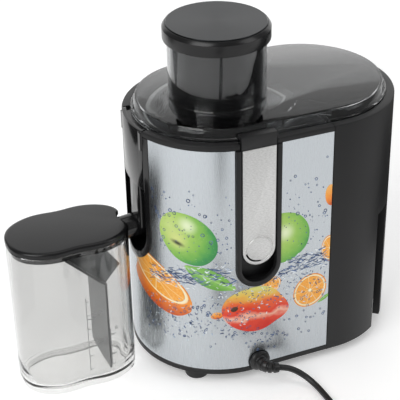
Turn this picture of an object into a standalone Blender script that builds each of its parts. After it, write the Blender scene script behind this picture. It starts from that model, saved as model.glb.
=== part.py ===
"""Centrifugal juicer with a clear jug at one end and a pulp bin at the other.

The design frame is in millimetres.  X runs along the body (jug at -X, pulp
bin at +X), -Y is the long side with the first latch and the mains cable, +Y
is the side with the rotary switch, and Z = 0 is the underside of the body,
which stands on four rubber feet.  ORIGIN moves everything so that the middle
of the bounding box stands on the origin, and UNIT turns it into metres.
"""
import math

import bmesh
import bpy
from mathutils import Matrix, Vector

# ------------------------------------------------------------ driving dimensions
UNIT = 0.001
ORIGIN = Vector((48.6, -6.05, 7.5))
GAP = 0.3                      # air between pieces that touch

BODY_R = 70.0                  # half depth of the stadium-shaped body
HALF = 36.0                    # its round ends are centred at x = +-HALF
SEAM_X = 27.6                  # where the motor body ends and the pulp bin starts
BAND_Z = 4.9                   # top of the dark band round the foot of the body
RIM_Z0, RIM_Z1 = 197.1, 201.2  # dark rim round the top of the body
WALL = 2.3                     # moulded walls
SKIN = 0.7                     # steel wrap

AXIS_X = -34.7                 # motor, basket, chute and pusher share this axis
CHUTE_R = 36.6
CHUTE_BORE = 34.6
CHUTE_TOP = 254.0
CAP_R, CAP_Z0, CAP_Z1 = 39.8, 254.3, 266.7
PUSHER_R, PUSHER_Z0 = 34.1, 174.0

LID_FLANGE_R, LID_Z0, LID_Z1 = 63.4, 199.6, 210.0
SEAT_R = 63.8                  # opening in the rim that the lid drops into
SEAT_Z = 199.2                 # what the lid rests on

LATCH_X, LATCH_W = -32.2, 28.0
LATCH_Z0, LATCH_Z1 = 84.0, 197.1
LATCH_PIVOT = (-66.2, 140.0)   # y, z of the front pivot pin

SLOT_HALF = 21.6               # half width of the spout cover panel
TRIM_HALF = 27.0
SLOT_Z0 = 86.3
COVER_Z0 = 152.5

BOWL_R, BOWL_Z0, BOWL_FLOOR = 59.0, 142.5, 146.0
DECK_Z0, DECK_Z1 = 136.0, 139.0
BASKET_RIM_R, BASKET_RIM_Z = 53.6, 192.0
BASKET_FOOT_R, BASKET_FOOT_Z = 40.4, 163.0

BIN_RECESS_X, BIN_RECESS_Z = 75.0, 108.3
HANDLE_ANGLE, HANDLE_T = 40.0, 5.7

JUG_X, JUG_Y, JUG_A, JUG_B = -157.0, -1.2, 46.0, 30.9
JUG_Z0, JUG_FLOOR, JUG_Z1 = -7.5, 0.0, 117.4
JUG_LID_Z1 = 122.3
SPOUT_R, SPOUT_BORE = 9.3, 7.3
NOTCH_X, NOTCH_R = -105.5, 12.6

FOOT_R = 9.3
FEET = {"foot_front_left": (-73.7, -44.8), "foot_rear_left": (-73.7, 44.8),
        "foot_front_right": (13.0, -44.8), "foot_rear_right": (13.0, 44.8)}

CORD_R = 2.4
GLAND_X, GLAND_Z = -31.6, 9.0

ROUND = 16                     # segments on a half circle of the body


# ------------------------------------------------------------ materials
def material(name, colour, rough, metal=0.0, clear=0.0):
    mat = bpy.data.materials.new(name)
    mat.use_nodes = True
    shader = mat.node_tree.nodes["Principled BSDF"]
    shader.inputs["Base Color"].default_value = (*colour, 1.0)
    shader.inputs["Roughness"].default_value = rough
    shader.inputs["Metallic"].default_value = metal
    shader.inputs["Transmission Weight"].default_value = clear
    return mat


CHARCOAL = dict(colour=(0.035, 0.035, 0.036), rough=0.42)
BLACK = dict(colour=(0.012, 0.012, 0.012), rough=0.2)
STEEL = dict(colour=(0.68, 0.70, 0.72), rough=0.28, metal=1.0)
SPUN = dict(colour=(0.10, 0.10, 0.10), rough=0.3, metal=1.0)
SMOKY = dict(colour=(0.42, 0.42, 0.42), rough=0.05, clear=0.9)
CLEAR = dict(colour=(0.86, 0.86, 0.84), rough=0.05, clear=0.95)
RUBBER = dict(colour=(0.02, 0.02, 0.02), rough=0.8)
COPPER = dict(colour=(0.55, 0.22, 0.09), rough=0.4, metal=1.0)
IRON = dict(colour=(0.22, 0.22, 0.23), rough=0.5, metal=1.0)
BRASS = dict(colour=(0.70, 0.50, 0.20), rough=0.3, metal=1.0)
NYLON = dict(colour=(0.70, 0.68, 0.62), rough=0.5)


# ------------------------------------------------------------ outlines in plan
def arc(cx, cy, r, start, end, n=ROUND):
    """Points on an arc, angles in degrees, both ends included."""
    return [(cx + r * math.cos(math.radians(start + (end - start) * i / n)),
             cy + r * math.sin(math.radians(start + (end - start) * i / n)))
            for i in range(n + 1)]


def drum(r, x_end):
    """Motor side of the body: a half circle at -X, straight to x_end."""
    return arc(-HALF, 0, r, 90, 270) + [(x_end, -r), (x_end, r)]


def bin_plan(r, x_start):
    """Pulp bin side of the body: straight from x_start, a half circle at +X."""
    return arc(HALF, 0, r, -90, 90) + [(x_start, r), (x_start, -r)]


def stadium(r):
    return arc(HALF, 0, r, -90, 90) + arc(-HALF, 0, r, 90, 270)


def ellipse_outline(a, b, waist=2.4, dent=5.0, n=36, power=2.5):
    """The jug's plan: a squarish oval with a slight waist and a hollow end."""
    pts = []
    for i in range(n):
        t = 2 * math.pi * i / n
        x = a * math.copysign(abs(math.cos(t)) ** (2 / power), math.cos(t))
        y = b * math.copysign(abs(math.sin(t)) ** (2 / power), math.sin(t))
        y -= math.copysign(waist, y) * math.exp(-(x / 13) ** 2) * min(1, abs(y) / b * 2)
        if x > 0:
            x -= dent * math.exp(-(y / 11) ** 2) * (x / a) ** 4
        pts.append((JUG_X + x, JUG_Y + y))
    return pts


# ------------------------------------------------------------ solids
def mesh_object(name, bm):
    bmesh.ops.recalc_face_normals(bm, faces=bm.faces)
    mesh = bpy.data.meshes.new(name)
    bm.to_mesh(mesh)
    bm.free()
    obj = bpy.data.objects.new(name, mesh)
    bpy.context.scene.collection.objects.link(obj)
    return obj


def loft(levels, name="tool"):
    """Stack of outlines [(points, z), ...] with the same count, closed at both ends."""
    bm = bmesh.new()
    rings = [[bm.verts.new((x, y, z)) for x, y in pts] for pts, z in levels]
    for low, high in zip(rings, rings[1:]):
        for i in range(len(low)):
            j = (i + 1) % len(low)
            bm.faces.new((low[i], low[j], high[j], high[i]))
    bm.faces.new(rings[0])
    bm.faces.new(rings[-1])
    return mesh_object(name, bm)


def prism(points, z0, z1, name="tool"):
    return loft([(points, z0), (points, z1)], name)


def ring(outer, inner, z0, z1, name="tool"):
    """Wall between two outlines with the same point count."""
    bm = bmesh.new()
    loops = [[bm.verts.new((x, y, z)) for x, y in pts]
             for pts, z in ((outer, z0), (outer, z1), (inner, z1), (inner, z0))]
    for a, b in zip(loops, loops[1:] + loops[:1]):
        for i in range(len(a)):
            j = (i + 1) % len(a)
            bm.faces.new((a[i], a[j], b[j], b[i]))
    return mesh_object(name, bm)


def box(x0, x1, y0, y1, z0, z1, name="tool"):
    return prism([(x0, y0), (x1, y0), (x1, y1), (x0, y1)], z0, z1, name)


def lathe(profile, x=AXIS_X, y=0.0, n=28, name="tool", closed=False):
    """Turn (radius, z) points about a vertical axis; closed joins last to first."""
    bm = bmesh.new()
    rows = []
    for r, z in profile:
        if r == 0:
            rows.append([bm.verts.new((x, y, z))])
        else:
            rows.append([bm.verts.new((x + r * math.cos(2 * math.pi * k / n),
                                       y + r * math.sin(2 * math.pi * k / n), z))
                         for k in range(n)])
    pairs = list(zip(rows, rows[1:])) + ([(rows[-1], rows[0])] if closed else [])
    for a, b in pairs:
        for k in range(n):
            m = (k + 1) % n
            if len(a) == 1:
                bm.faces.new((a[0], b[k], b[m]))
            elif len(b) == 1:
                bm.faces.new((a[k], b[0], a[m]))
            else:
                bm.faces.new((a[k], b[k], b[m], a[m]))
    return mesh_object(name, bm)


def cylinder(r, z0, z1, x=AXIS_X, y=0.0, n=28, name="tool"):
    return prism(arc(x, y, r, 0, 360, n)[:-1], z0, z1, name)


def rod(start, end, r, n=24, name="tool", r_end=None):
    """Cylinder or cone from one point to another."""
    start, end = Vector(start), Vector(end)
    bm = bmesh.new()
    bmesh.ops.create_cone(bm, cap_ends=True, segments=n, radius1=r,
                          radius2=r if r_end is None else r_end,
                          depth=(end - start).length)
    turn = (end - start).to_track_quat("Z", "Y").to_matrix().to_4x4()
    bmesh.ops.transform(bm, matrix=Matrix.Translation((start + end) / 2) @ turn,
                        verts=bm.verts)
    return mesh_object(name, bm)


def turned_along_y(profile, x, z, n=32, name="tool"):
    """Turn (radius, y) points about an axis along Y."""
    obj = lathe(profile, 0, 0, n, name)
    obj.data.transform(Matrix.Translation((x, 0, z)) @ Matrix.Rotation(math.radians(-90), 4, "X"))
    return obj


def u_plan(half, z0, z_top, n=10):
    """A U-shaped opening seen from the side, as (across, up) points."""
    return arc(0, z0 + half, half, 180, 360, n) + [(half, z_top), (-half, z_top)]


def u_prism_x(half, z0, z_top, x0, x1, y=0.0, n=10):
    obj = prism(u_plan(half, z0, z_top, n), x0, x1)
    obj.data.transform(Matrix(((0, 0, 1, 0), (1, 0, 0, y), (0, 1, 0, 0), (0, 0, 0, 1))))
    return obj


def u_prism_y(half, z0, z_top, y0, y1, x=LATCH_X, n=10):
    obj = prism(u_plan(half, z0, z_top, n), y0, y1)
    obj.data.transform(Matrix(((1, 0, 0, x), (0, 0, 1, 0), (0, 1, 0, 0), (0, 0, 0, 1))))
    return outward(obj)


def outward(obj):
    bm = bmesh.new()
    bm.from_mesh(obj.data)
    bmesh.ops.recalc_face_normals(bm, faces=bm.faces)
    bm.to_mesh(obj.data)
    bm.free()
    return obj


def boolean(target, tools, operation):
    """Apply one exact Boolean with all its tools, then drop the tools."""
    bench = bpy.data.collections.new("bench")
    bpy.context.scene.collection.children.link(bench)
    for tool in tools:
        outward(tool)
        bench.objects.link(tool)
    mod = target.modifiers.new("cut", "BOOLEAN")
    mod.operation = operation
    mod.solver = "EXACT"
    mod.operand_type = "COLLECTION"
    mod.collection = bench
    graph = bpy.context.evaluated_depsgraph_get()
    mesh = bpy.data.meshes.new_from_object(target.evaluated_get(graph))
    target.modifiers.clear()
    target.data = mesh
    for tool in tools:
        bpy.data.objects.remove(tool)
    bpy.data.collections.remove(bench)
    return target


def cut(target, *tools):
    return boolean(target, tools, "DIFFERENCE")


def join(target, *tools):
    return boolean(target, tools, "UNION")


def keep(target, *tools):
    return boolean(target, tools, "INTERSECT")


def mirrored(obj, name):
    """A copy on the other long side of the body."""
    twin = obj.copy()
    twin.data = obj.data.copy()
    twin.name = name
    bpy.context.scene.collection.objects.link(twin)
    twin.data.transform(Matrix.Scale(-1, 4, (0, 1, 0)))
    return outward(twin)


def finish(obj, name, look, pivot=(0, 0, 0)):
    """Name a piece, give it its material and put its origin on its joint's axis."""
    obj.name = name
    obj.data.name = name
    bm = bmesh.new()
    bm.from_mesh(obj.data)
    bmesh.ops.remove_doubles(bm, verts=bm.verts, dist=0.001)
    bmesh.ops.dissolve_limit(bm, angle_limit=math.radians(0.5), verts=bm.verts, edges=bm.edges)
    bmesh.ops.triangulate(bm, faces=[f for f in bm.faces if len(f.verts) > 4])
    bm.to_mesh(obj.data)
    bm.free()
    pivot = Vector(pivot) if any(pivot) else -ORIGIN
    obj.data.transform(Matrix.Scale(UNIT, 4) @ Matrix.Translation(-pivot))
    obj.location = (pivot + ORIGIN) * UNIT
    obj.data.materials.clear()
    obj.data.materials.append(material(name, **look))
    obj.data.shade_smooth()
    obj.data.set_sharp_from_angle(angle=math.radians(35))
    return obj


# ------------------------------------------------------------ foot of the body
def base_plate():
    plate = prism(drum(BODY_R, SEAM_X - 0.2), 0, BAND_Z)
    cut(plate, prism(drum(BODY_R - 2.2, SEAM_X - 2.4), 2.8, BAND_Z + 5))
    join(plate, box(SEAM_X - 8, SEAM_X + 18, -46, 46, 0.3, 2.5))       # tongue under the bin
    vents = [box(AXIS_X - 22 + i * 6, AXIS_X - 19 + i * 6, -14, 14, -2, 6) for i in range(8)]
    holes = [cylinder(2.2, -2, 8, x, y, 10) for x, y in FEET.values()]
    gland = rod((GLAND_X, -BODY_R - 5, GLAND_Z), (GLAND_X, -BODY_R + 6, GLAND_Z), 8.9, 32)
    cut(plate, gland, *vents, *holes)
    finish(plate, "base_plate", CHARCOAL)


def feet():
    for name, (x, y) in FEET.items():
        foot = lathe([(0, -3.2), (4.2, -3.2), (4.2, -7.5), (8.3, -7.5), (FOOT_R, -6.5),
                      (FOOT_R, -GAP), (0, -GAP)], x, y, 16)
        cut(foot, cylinder(2.2, -6, 2, x, y, 10))
        finish(foot, name, RUBBER)
        screw = lathe([(0, -5.6), (2.6, -5.6), (3.6, -4.6), (3.6, -3.5), (1.8, -3.5), (1.8, 13.5),
                       (0, 15)], x, y, 10)
        cut(screw, box(x - 2.2, x + 2.2, y - 0.4, y + 0.4, -7, -4.8))
        finish(screw, name.replace("foot", "screw"), STEEL)


# ------------------------------------------------------------ motor housing and its trim
def latch_side(side):
    """+1 keeps a front (-Y) piece as drawn, -1 gives its twin on the +Y side."""
    return "front" if side > 0 else "rear"


def motor_housing():
    x_end = SEAM_X - 0.2
    wall_r = BODY_R - SKIN - 0.6
    shell = loft([(drum(wall_r, x_end), BAND_Z + GAP), (drum(wall_r, x_end), RIM_Z0),
                  (drum(BODY_R, x_end), RIM_Z0 + 0.05), (drum(BODY_R, x_end), RIM_Z1 - 1.3),
                  (drum(BODY_R - 1.3, x_end), RIM_Z1)])
    inner = wall_r - WALL
    below = prism(drum(inner, x_end - WALL), BAND_Z - 3, DECK_Z0)
    above = loft([(drum(inner, x_end - WALL), DECK_Z1), (drum(inner, x_end - WALL), 187.0),
                  (drum(61.2, x_end - WALL), 191.5), (drum(61.2, x_end - WALL), 194.0)])
    mouth = prism(drum(SEAT_R, x_end + 9), 193.6, RIM_Z1 + 3)
    cut(shell, below, above, mouth)
    posts = [cylinder(4.2, 115.6, DECK_Z0 + 1, AXIS_X + dx, dy, 10)
             for dx in (-26, 26) for dy in (-22, 22)]
    bosses = []
    for x, y in FEET.values():
        bosses.append(cylinder(4.8, BAND_Z + GAP, 19, x, y, 12))
        lean = Vector((x + HALF, y, 0)) if x < -HALF else Vector((0, y, 0))
        lean.normalize()
        web = rod((x, y, 12), (x + lean.x * 10, y + lean.y * (10 if x < -HALF else 23), 12), 3, 8)
        bosses.append(web)
    join(shell, *posts, *bosses)
    holes = [cylinder(2.1, 0, 17.5, x, y, 10) for x, y in FEET.values()]
    shaft = cylinder(12.0, 130, 145)
    pulp_way = box(x_end - 6, x_end + 5, -45, 45, 178, RIM_Z1 + 5)
    slot = box(-BODY_R - HALF - 5, -BODY_R - HALF + 27.6, -24.8, 24.8, SLOT_Z0 + 1.4, DECK_Z1 + 5)
    slot_up = box(-BODY_R - HALF - 5, -BODY_R - HALF + 18, -SLOT_HALF - GAP, SLOT_HALF + GAP,
                  SLOT_Z0 + 20, RIM_Z1 + 5)
    cable = rod((GLAND_X, -BODY_R - 5, GLAND_Z), (GLAND_X, -BODY_R + 14, GLAND_Z), 6.2, 24)
    collar = rod((GLAND_X, -BODY_R - 5, GLAND_Z), (GLAND_X, -BODY_R + 1.6, GLAND_Z), 8.9, 32)
    knob = rod((LATCH_X, BODY_R - 12, 48), (LATCH_X, BODY_R + 5, 48), 7.2, 24)
    cut(shell, shaft, pulp_way, slot, slot_up, cable, collar, knob, *holes)
    for side in (1, -1):
        pocket = box(LATCH_X - 17.1, LATCH_X + 17.1, -BODY_R - 6, -59.9, 81.0, 190.8)
        gate = box(LATCH_X - 14.6, LATCH_X + 14.6, -BODY_R - 6, -62.0, 186.0, RIM_Z1 + 4)
        seat = u_prism_y(18.2, 78.8, RIM_Z0, -BODY_R - 6, -BODY_R + 3.4)
        if side < 0:
            for tool in (pocket, gate, seat):
                tool.data.transform(Matrix.Scale(-1, 4, (0, 1, 0)))
        cut(shell, pocket, gate, seat)
    finish(shell, "motor_housing", CHARCOAL)


def steel_wrap():
    outer = arc(-HALF, 0, BODY_R - 0.2, 270, 90, 28)
    inner = arc(-HALF, 0, BODY_R - 0.2 - SKIN, 90, 270, 28)
    x = SEAM_X - 0.4
    r_out, r_in = BODY_R - 0.2, BODY_R - 0.2 - SKIN
    path = [(x, -r_out)] + outer + [(x, r_out), (x, r_in)] + inner + [(x, -r_in)]
    sheet = prism(path, BAND_Z + 0.4, RIM_Z0 - GAP)
    slot = u_prism_x(TRIM_HALF + GAP, SLOT_Z0 - GAP, 230, -BODY_R - HALF - 9, -BODY_R - HALF + 30)
    gland = rod((GLAND_X, -BODY_R - 5, GLAND_Z), (GLAND_X, -BODY_R + 6, GLAND_Z), 8.9, 32)
    knob = rod((LATCH_X, BODY_R - 6, 48), (LATCH_X, BODY_R + 5, 48), 7.2, 24)
    front = u_prism_y(18.2, 78.8, 230, -BODY_R - 9, -BODY_R + 9)
    rear = u_prism_y(18.2, 78.8, 230, BODY_R - 9, BODY_R + 9)
    cut(sheet, slot, gland, knob, front, rear)
    finish(sheet, "steel_wrap", STEEL)


def slot_trim():
    """Dark U-shaped edging round the spout opening, curved like the body."""
    strip = prism(arc(-HALF, 0, BODY_R + 0.2, 150, 210, 24)
                  + arc(-HALF, 0, BODY_R - 1.0, 210, 150, 24), SLOT_Z0 - 5, RIM_Z0 - GAP)
    keep(strip, u_prism_x(TRIM_HALF, SLOT_Z0, 230, -BODY_R - HALF - 9, -BODY_R - HALF + 30))
    cut(strip, u_prism_x(SLOT_HALF + GAP, SLOT_Z0 + 5.2, 230,
                         -BODY_R - HALF - 9, -BODY_R - HALF + 30))
    finish(strip, "spout_slot_trim", BLACK)


def spout_recess():
    """Open-topped trough that closes the housing behind the spout."""
    x0, x1 = -BODY_R - HALF + 3.8, -BODY_R - HALF + 27.2
    trough = box(x0, x1, -24.4, 24.4, SLOT_Z0 + 1.8, DECK_Z0 - GAP)
    cut(trough, box(x0 - 5, x1 - 2, -22.4, 22.4, SLOT_Z0 + 4, DECK_Z1 + 9))
    keep(trough, prism(drum(BODY_R - 1.4, SEAM_X), 60, 180))
    finish(trough, "spout_recess", BLACK)


def latches():
    """A rocker latch on each long side: pressing its foot swings its hook outwards."""
    y_pin, z_pin = LATCH_PIVOT
    bezel = u_prism_y(17.9, 79.1, RIM_Z0 - GAP, -BODY_R - 0.9, -BODY_R + 3.1)
    cut(bezel, u_prism_y(14.2, 83.6, 230, -BODY_R - 9, -BODY_R + 9))
    cup = box(LATCH_X - 16.8, LATCH_X + 16.8, -BODY_R + 2.8, -60.2, 81.3, 190.5)
    cut(cup, box(LATCH_X - 14.8, LATCH_X + 14.8, -BODY_R - 3, -61.6, 83.3, 230))
    join(bezel, cup)
    cut(bezel, rod((LATCH_X - 16.0, y_pin, z_pin), (LATCH_X + 16.0, y_pin, z_pin), 1.7, 10))
    lever = u_prism_y(13.8, 98.0, 206.9, -BODY_R - 0.2, -BODY_R + 3.4)
    join(lever, box(LATCH_X - 13.8, LATCH_X + 13.8, -BODY_R + 3.2, -62.9, 203.9, 206.9),
         rod((LATCH_X - 12.5, y_pin, z_pin), (LATCH_X + 12.5, y_pin, z_pin), 3.2, 14))
    cut(lever, rod((LATCH_X - 20, y_pin, z_pin), (LATCH_X + 20, y_pin, z_pin), 1.8, 10),
        u_prism_y(13.4, 98.4, 196.6, -BODY_R - 3, -BODY_R + 0.4))
    inlay = u_prism_y(13.1, 98.7, 196.3, -BODY_R - 0.5, -BODY_R + 0.1)
    cut(inlay, turned_along_y([(0, -BODY_R - 1.2), (10.7, -BODY_R - 1.2), (10.7, -BODY_R - 0.2),
                               (0, -BODY_R - 0.2)], LATCH_X, 112.2, 20))
    pin = rod((LATCH_X - 15.6, y_pin, z_pin), (LATCH_X + 15.6, y_pin, z_pin), 1.4, 10)
    looks = {"latch_bezel": (bezel, BLACK, False), "latch_lever": (lever, BLACK, True),
             "latch_inlay": (inlay, STEEL, True), "latch_pin": (pin, STEEL, False)}
    for name, (obj, look, moves) in looks.items():
        twin = mirrored(obj, name)
        for item, side in ((obj, 1), (twin, -1)):
            pivot = (LATCH_X, side * y_pin, z_pin) if moves else (0, 0, 0)
            finish(item, f"{name}_{latch_side(side)}", look, pivot)


# ------------------------------------------------------------ motor and switch
def motor():
    x = AXIS_X
    stator = prism([(x - 27, -33), (x + 27, -33), (x + 31, -29), (x + 31, 29),
                    (x + 27, 33), (x - 27, 33), (x - 31, 29), (x - 31, -29)], 56, 88)
    windows = [box(x + s * 24.6 - 2.6, x + s * 24.6 + 2.6, t * 19 - 3.6, t * 19 + 3.6, 50, 95)
               for s in (-1, 1) for t in (-1, 1)]
    cut(stator, cylinder(20.0, 50, 95), *windows)
    finish(stator, "motor_stator", IRON)
    for side, name in ((-1, "field_coil_a"), (1, "field_coil_b")):
        xc = x + side * 24.6
        coil = box(xc - 2.3, xc + 2.3, -22.3, 22.3, 48, 96)
        cut(coil, box(xc - 5, xc + 5, -15.7, 15.7, 55.7, 88.3))
        finish(coil, name, COPPER)
    for name, z0, z1, cup0, cup1 in (("motor_bracket_lower", 18, 21, 11, 21),
                                     ("motor_bracket_upper", 107.5, 110.5, 100.5, 110.5)):
        plate = box(x - 31, x + 31, -12, 12, z0, z1)
        legs = ([box(x + s * 31 - 2, x + s * 31 + 2, -10, 10, 18.5, 55.6) for s in (-1, 1)]
                if "lower" in name else
                [box(x + s * 31 - 2, x + s * 31 + 2, -10, 10, 88.4, 108) for s in (-1, 1)])
        join(plate, cylinder(12.0, cup0, cup1, n=16), *legs)
        if "upper" in name:
            join(plate, *[box(x + s * 26 - 5, x + s * 26 + 5, -27, 27, 107.6, 110.4)
                          for s in (-1, 1)])
            join(plate, *[cylinder(3.6, 108, 115.3, x + dx, dy, 10)
                          for dx in (-26, 26) for dy in (-22, 22)])
        cut(plate, cylinder(9.8, cup0 + 1.6, cup1 + 2, n=16) if "lower" in name
            else cylinder(9.8, cup0 - 2, cup1 - 1.6, n=16), cylinder(5.2, 5, 130, n=12))
        finish(plate, name, IRON)
    for name, z0 in (("bearing_lower", 13.0), ("bearing_upper", 100.9)):
        race = lathe([(4.1, z0), (9.4, z0), (9.4, z0 + 7), (4.1, z0 + 7)], n=16, closed=True)
        finish(race, name, STEEL)
    shaft = lathe([(0, 12), (3.0, 12), (3.7, 13), (3.7, 150), (3.0, 151), (0, 151)], n=14)
    finish(shaft, "motor_shaft", STEEL, (AXIS_X, 0, 72))
    core = lathe([(4.1, 56), (19.3, 56), (19.3, 88), (4.1, 88)], n=24, closed=True)
    slots = [box(x + 15, x + 22, -0.8, 0.8, 50, 95) for _ in range(12)]
    for i, tool in enumerate(slots):
        turn = (Matrix.Translation((x, 0, 0)) @ Matrix.Rotation(math.tau * i / 12, 4, "Z")
                @ Matrix.Translation((-x, 0, 0)))
        tool.data.transform(turn)
    cut(core, *slots)
    finish(core, "armature_core", IRON, (AXIS_X, 0, 72))
    for name, z0, z1 in (("armature_winding_lower", 47.2, 55.7),
                         ("armature_winding_upper", 88.3, 97.0)):
        winding = lathe([(4.1, z0), (13, z0), (16.5, z0 + 2), (16.5, z1 - 2), (13, z1), (4.1, z1)],
                        n=16, closed=True)
        finish(winding, name, COPPER, (AXIS_X, 0, 72))
    finish(lathe([(4.1, 35), (9, 35), (9, 46.9), (4.1, 46.9)], n=16, closed=True),
           "commutator", BRASS, (AXIS_X, 0, 72))
    fan = lathe([(4.1, 24), (8, 24), (8, 25), (28, 25), (28, 26.4), (8, 26.4), (8, 34.5),
                 (4.1, 34.5)], n=20, closed=True)
    blades = []
    for i in range(9):
        blade = box(x + 7, x + 27, -0.7, 0.7, 25.6, 33.5)
        blade.data.transform(Matrix.Translation((x, 0, 0)) @ Matrix.Rotation(math.tau * i / 9, 4, "Z")
                             @ Matrix.Translation((-x, 0, 0)))
        blades.append(blade)
    join(fan, *blades)
    finish(fan, "cooling_fan", NYLON, (AXIS_X, 0, 72))


def drive():
    """Splined dog on the shaft; its cross slot drives the basket's hub."""
    dog = lathe([(0, 140.5), (10.6, 140.5), (10.6, 154.0), (9.6, 155), (0, 155)], n=28)
    cut(dog, cylinder(4.1, 130, 151.4, n=20),
        box(AXIS_X - 9.2, AXIS_X + 9.2, -2.4, 2.4, 151.9, 160))
    finish(dog, "drive_coupling", NYLON, (AXIS_X, 0, 72))


def switch_and_knob():
    body = box(LATCH_X - 13, LATCH_X + 13, 46, 64.8, 36, 60)
    finish(body, "rotary_switch", BLACK)
    knob = turned_along_y([(0, 66.0), (3.0, 66.0), (3.0, BODY_R + 0.5), (15.5, BODY_R + 0.5),
                           (16.2, BODY_R + 1.6), (14.6, BODY_R + 12.2), (13.6, BODY_R + 13.0),
                           (0, BODY_R + 13.0)], LATCH_X, 48, 28)
    cut(knob, box(LATCH_X - 0.9, LATCH_X + 0.9, BODY_R + 12.3, BODY_R + 16, 52, 60))
    finish(knob, "control_knob", CHARCOAL, (LATCH_X, BODY_R, 48))


# ------------------------------------------------------------ juice bowl with its spout
def latch_notches():
    """Room for both latch hooks to pass the flanges of the bowl and the lid."""
    return [box(LATCH_X - 15, LATCH_X + 15, y, y + 8, 190, 203.2) for y in (-70.4, 62.4)]


def juice_bowl():
    body = cylinder(BOWL_R, BOWL_Z0, 195.0, n=32)
    flange = prism(drum(LID_FLANGE_R, SEAM_X - 0.8), 194.3, SEAT_Z)
    lip = box(10, SEAM_X + 7.5, -42, 42, 180.5, 183.0)
    bridge = box(-100.5, -88, -20.6, 20.6, 181, 195)
    panel = prism(arc(-HALF, 0, BODY_R, 180 - 17.9, 180 + 17.9, 12)
                  + arc(-HALF, 0, BODY_R - 3.4, 180 + 17.9, 180 - 17.9, 12), COVER_Z0, RIM_Z1)
    tie = box(-103.9, -96, -20.6, 20.6, 185, SEAT_Z)
    neck = box(-103.2, -90, -10.4, 10.4, 112, 158)
    join(body, flange, lip, bridge, panel, tie, neck)
    spout = rod((-92, 0, 112.9), (-126, 0, 109.6), SPOUT_R, 20)
    tip = prism(arc(NOTCH_X, 0, NOTCH_R - 0.5, 90, 270, 16) + [(-80, -12.1), (-80, 12.1)], 90, 130)
    keep(spout, tip)
    join(body, spout)
    inside = cylinder(BOWL_R - 2.2, BOWL_FLOOR, 210, n=32)
    collar = cylinder(14.0, BOWL_Z0 + 0.5, 158.0, n=28)
    cut(body, inside)
    join(body, collar)
    way = box(-36, SEAM_X + 14, -42, 42, 183.0, 210)
    bore = rod((-96.5, 0, 112.4), (-130, 0, 109.2), SPOUT_BORE, 16)
    down = cylinder(5.6, 112.5, 152.5, -96.4, 0, 20)
    port = box(-98, -84, -6, 6, BOWL_FLOOR + 0.1, 152.4)
    drive_hole = cylinder(11.6, 130, 170, n=28)
    cut(body, way, bore, down, port, drive_hole, *latch_notches())
    finish(body, "juice_bowl", BLACK, (AXIS_X, 0, BOWL_Z0))


def filter_basket():
    wall = lathe([(BASKET_FOOT_R, BASKET_FOOT_Z), (BASKET_RIM_R - 1.2, BASKET_RIM_Z - 0.4),
                  (BASKET_RIM_R - 2.0, BASKET_RIM_Z - 0.4), (BASKET_FOOT_R - 0.9, BASKET_FOOT_Z)],
                 n=32, closed=True)
    finish(wall, "basket_mesh", STEEL, (AXIS_X, 0, 150))
    rim = lathe([(51.4, BASKET_RIM_Z - 0.1), (BASKET_RIM_R, BASKET_RIM_Z - 0.1),
                 (BASKET_RIM_R + 0.8, BASKET_RIM_Z + 0.8), (BASKET_RIM_R, BASKET_RIM_Z + 2.2),
                 (51.4, BASKET_RIM_Z + 2.2)], n=32, closed=True)
    finish(rim, "basket_rim", BLACK, (AXIS_X, 0, 150))
    foot = lathe([(0, 159.8), (19.5, 159.8), (19.5, 159.4), (40.6, 159.4), (41.6, 160.4),
                  (41.6, 162.7), (37.6, 162.7), (37.6, 162.0), (0, 162.0)], n=28)
    skirt = lathe([(16.0, 150.5), (18.4, 150.5), (18.4, 160.6), (16.0, 160.6)], n=28, closed=True)
    key = box(AXIS_X - 8.8, AXIS_X + 8.8, -2.0, 2.0, 152.3, 160.5)
    boss = cylinder(9.2, 155.4, 160.5, n=20)
    join(foot, skirt, boss, key)
    finish(foot, "basket_hub", BLACK, (AXIS_X, 0, 150))


def grater_disc():
    """Steel disc whose teeth are small pyramids standing in rings."""
    disc = lathe([(0, 162.4), (37.2, 162.4), (37.2, 163.6), (0, 163.6)], n=28)
    teeth = []
    for radius, count in ((13, 5), (23, 7), (32, 9)):
        for k in range(count):
            a = math.tau * (k + radius * 0.37) / count
            tooth = rod((AXIS_X + radius * math.cos(a), radius * math.sin(a), 163.2),
                        (AXIS_X + radius * math.cos(a) + 0.5 * math.sin(a),
                         radius * math.sin(a) - 0.5 * math.cos(a), 165.0), 1.5, 4, r_end=0.25)
            teeth.append(tooth)
    join(disc, *teeth)
    finish(disc, "grater_disc", STEEL, (AXIS_X, 0, 150))


# ------------------------------------------------------------ lid, chute and pusher
def lid():
    shell = loft([(stadium(LID_FLANGE_R), LID_Z0), (stadium(LID_FLANGE_R), 203.0),
                  (stadium(62.2), 203.4), (stadium(60.6), 209.2), (stadium(59.8), LID_Z1)])
    hollow = loft([(stadium(61.4), LID_Z0 - 3), (stadium(60.2), 202.5), (stadium(58.6), 207.4),
                   (stadium(58.2), 207.9)])
    cut(shell, hollow)
    ribs = []
    for side in (-1, 1):
        turns = [(-6.5, 54.2), (13.0, 36.8), (22.4, 39.2), (33.0, 50.6)]
        for (xa, ya), (xb, yb) in zip(turns, turns[1:]):
            d = Vector((xb - xa, yb - ya)).normalized()
            n = Vector((-d.y, d.x)) * 0.9
            quad = [(xa - d.x + n.x, side * (ya - d.y + n.y)), (xb + d.x + n.x, side * (yb + d.y + n.y)),
                    (xb + d.x - n.x, side * (yb + d.y - n.y)), (xa - d.x - n.x, side * (ya - d.y - n.y))]
            ribs.append(prism(quad, 200.2, 208.6))
    join(shell, cylinder(CHUTE_R, 168.0, CHUTE_TOP, n=32), *ribs)
    cut(shell, cylinder(CHUTE_BORE, 160, 260, n=32), *latch_notches())
    finish(shell, "lid", SMOKY, (AXIS_X, 0, LID_Z0))


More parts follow.
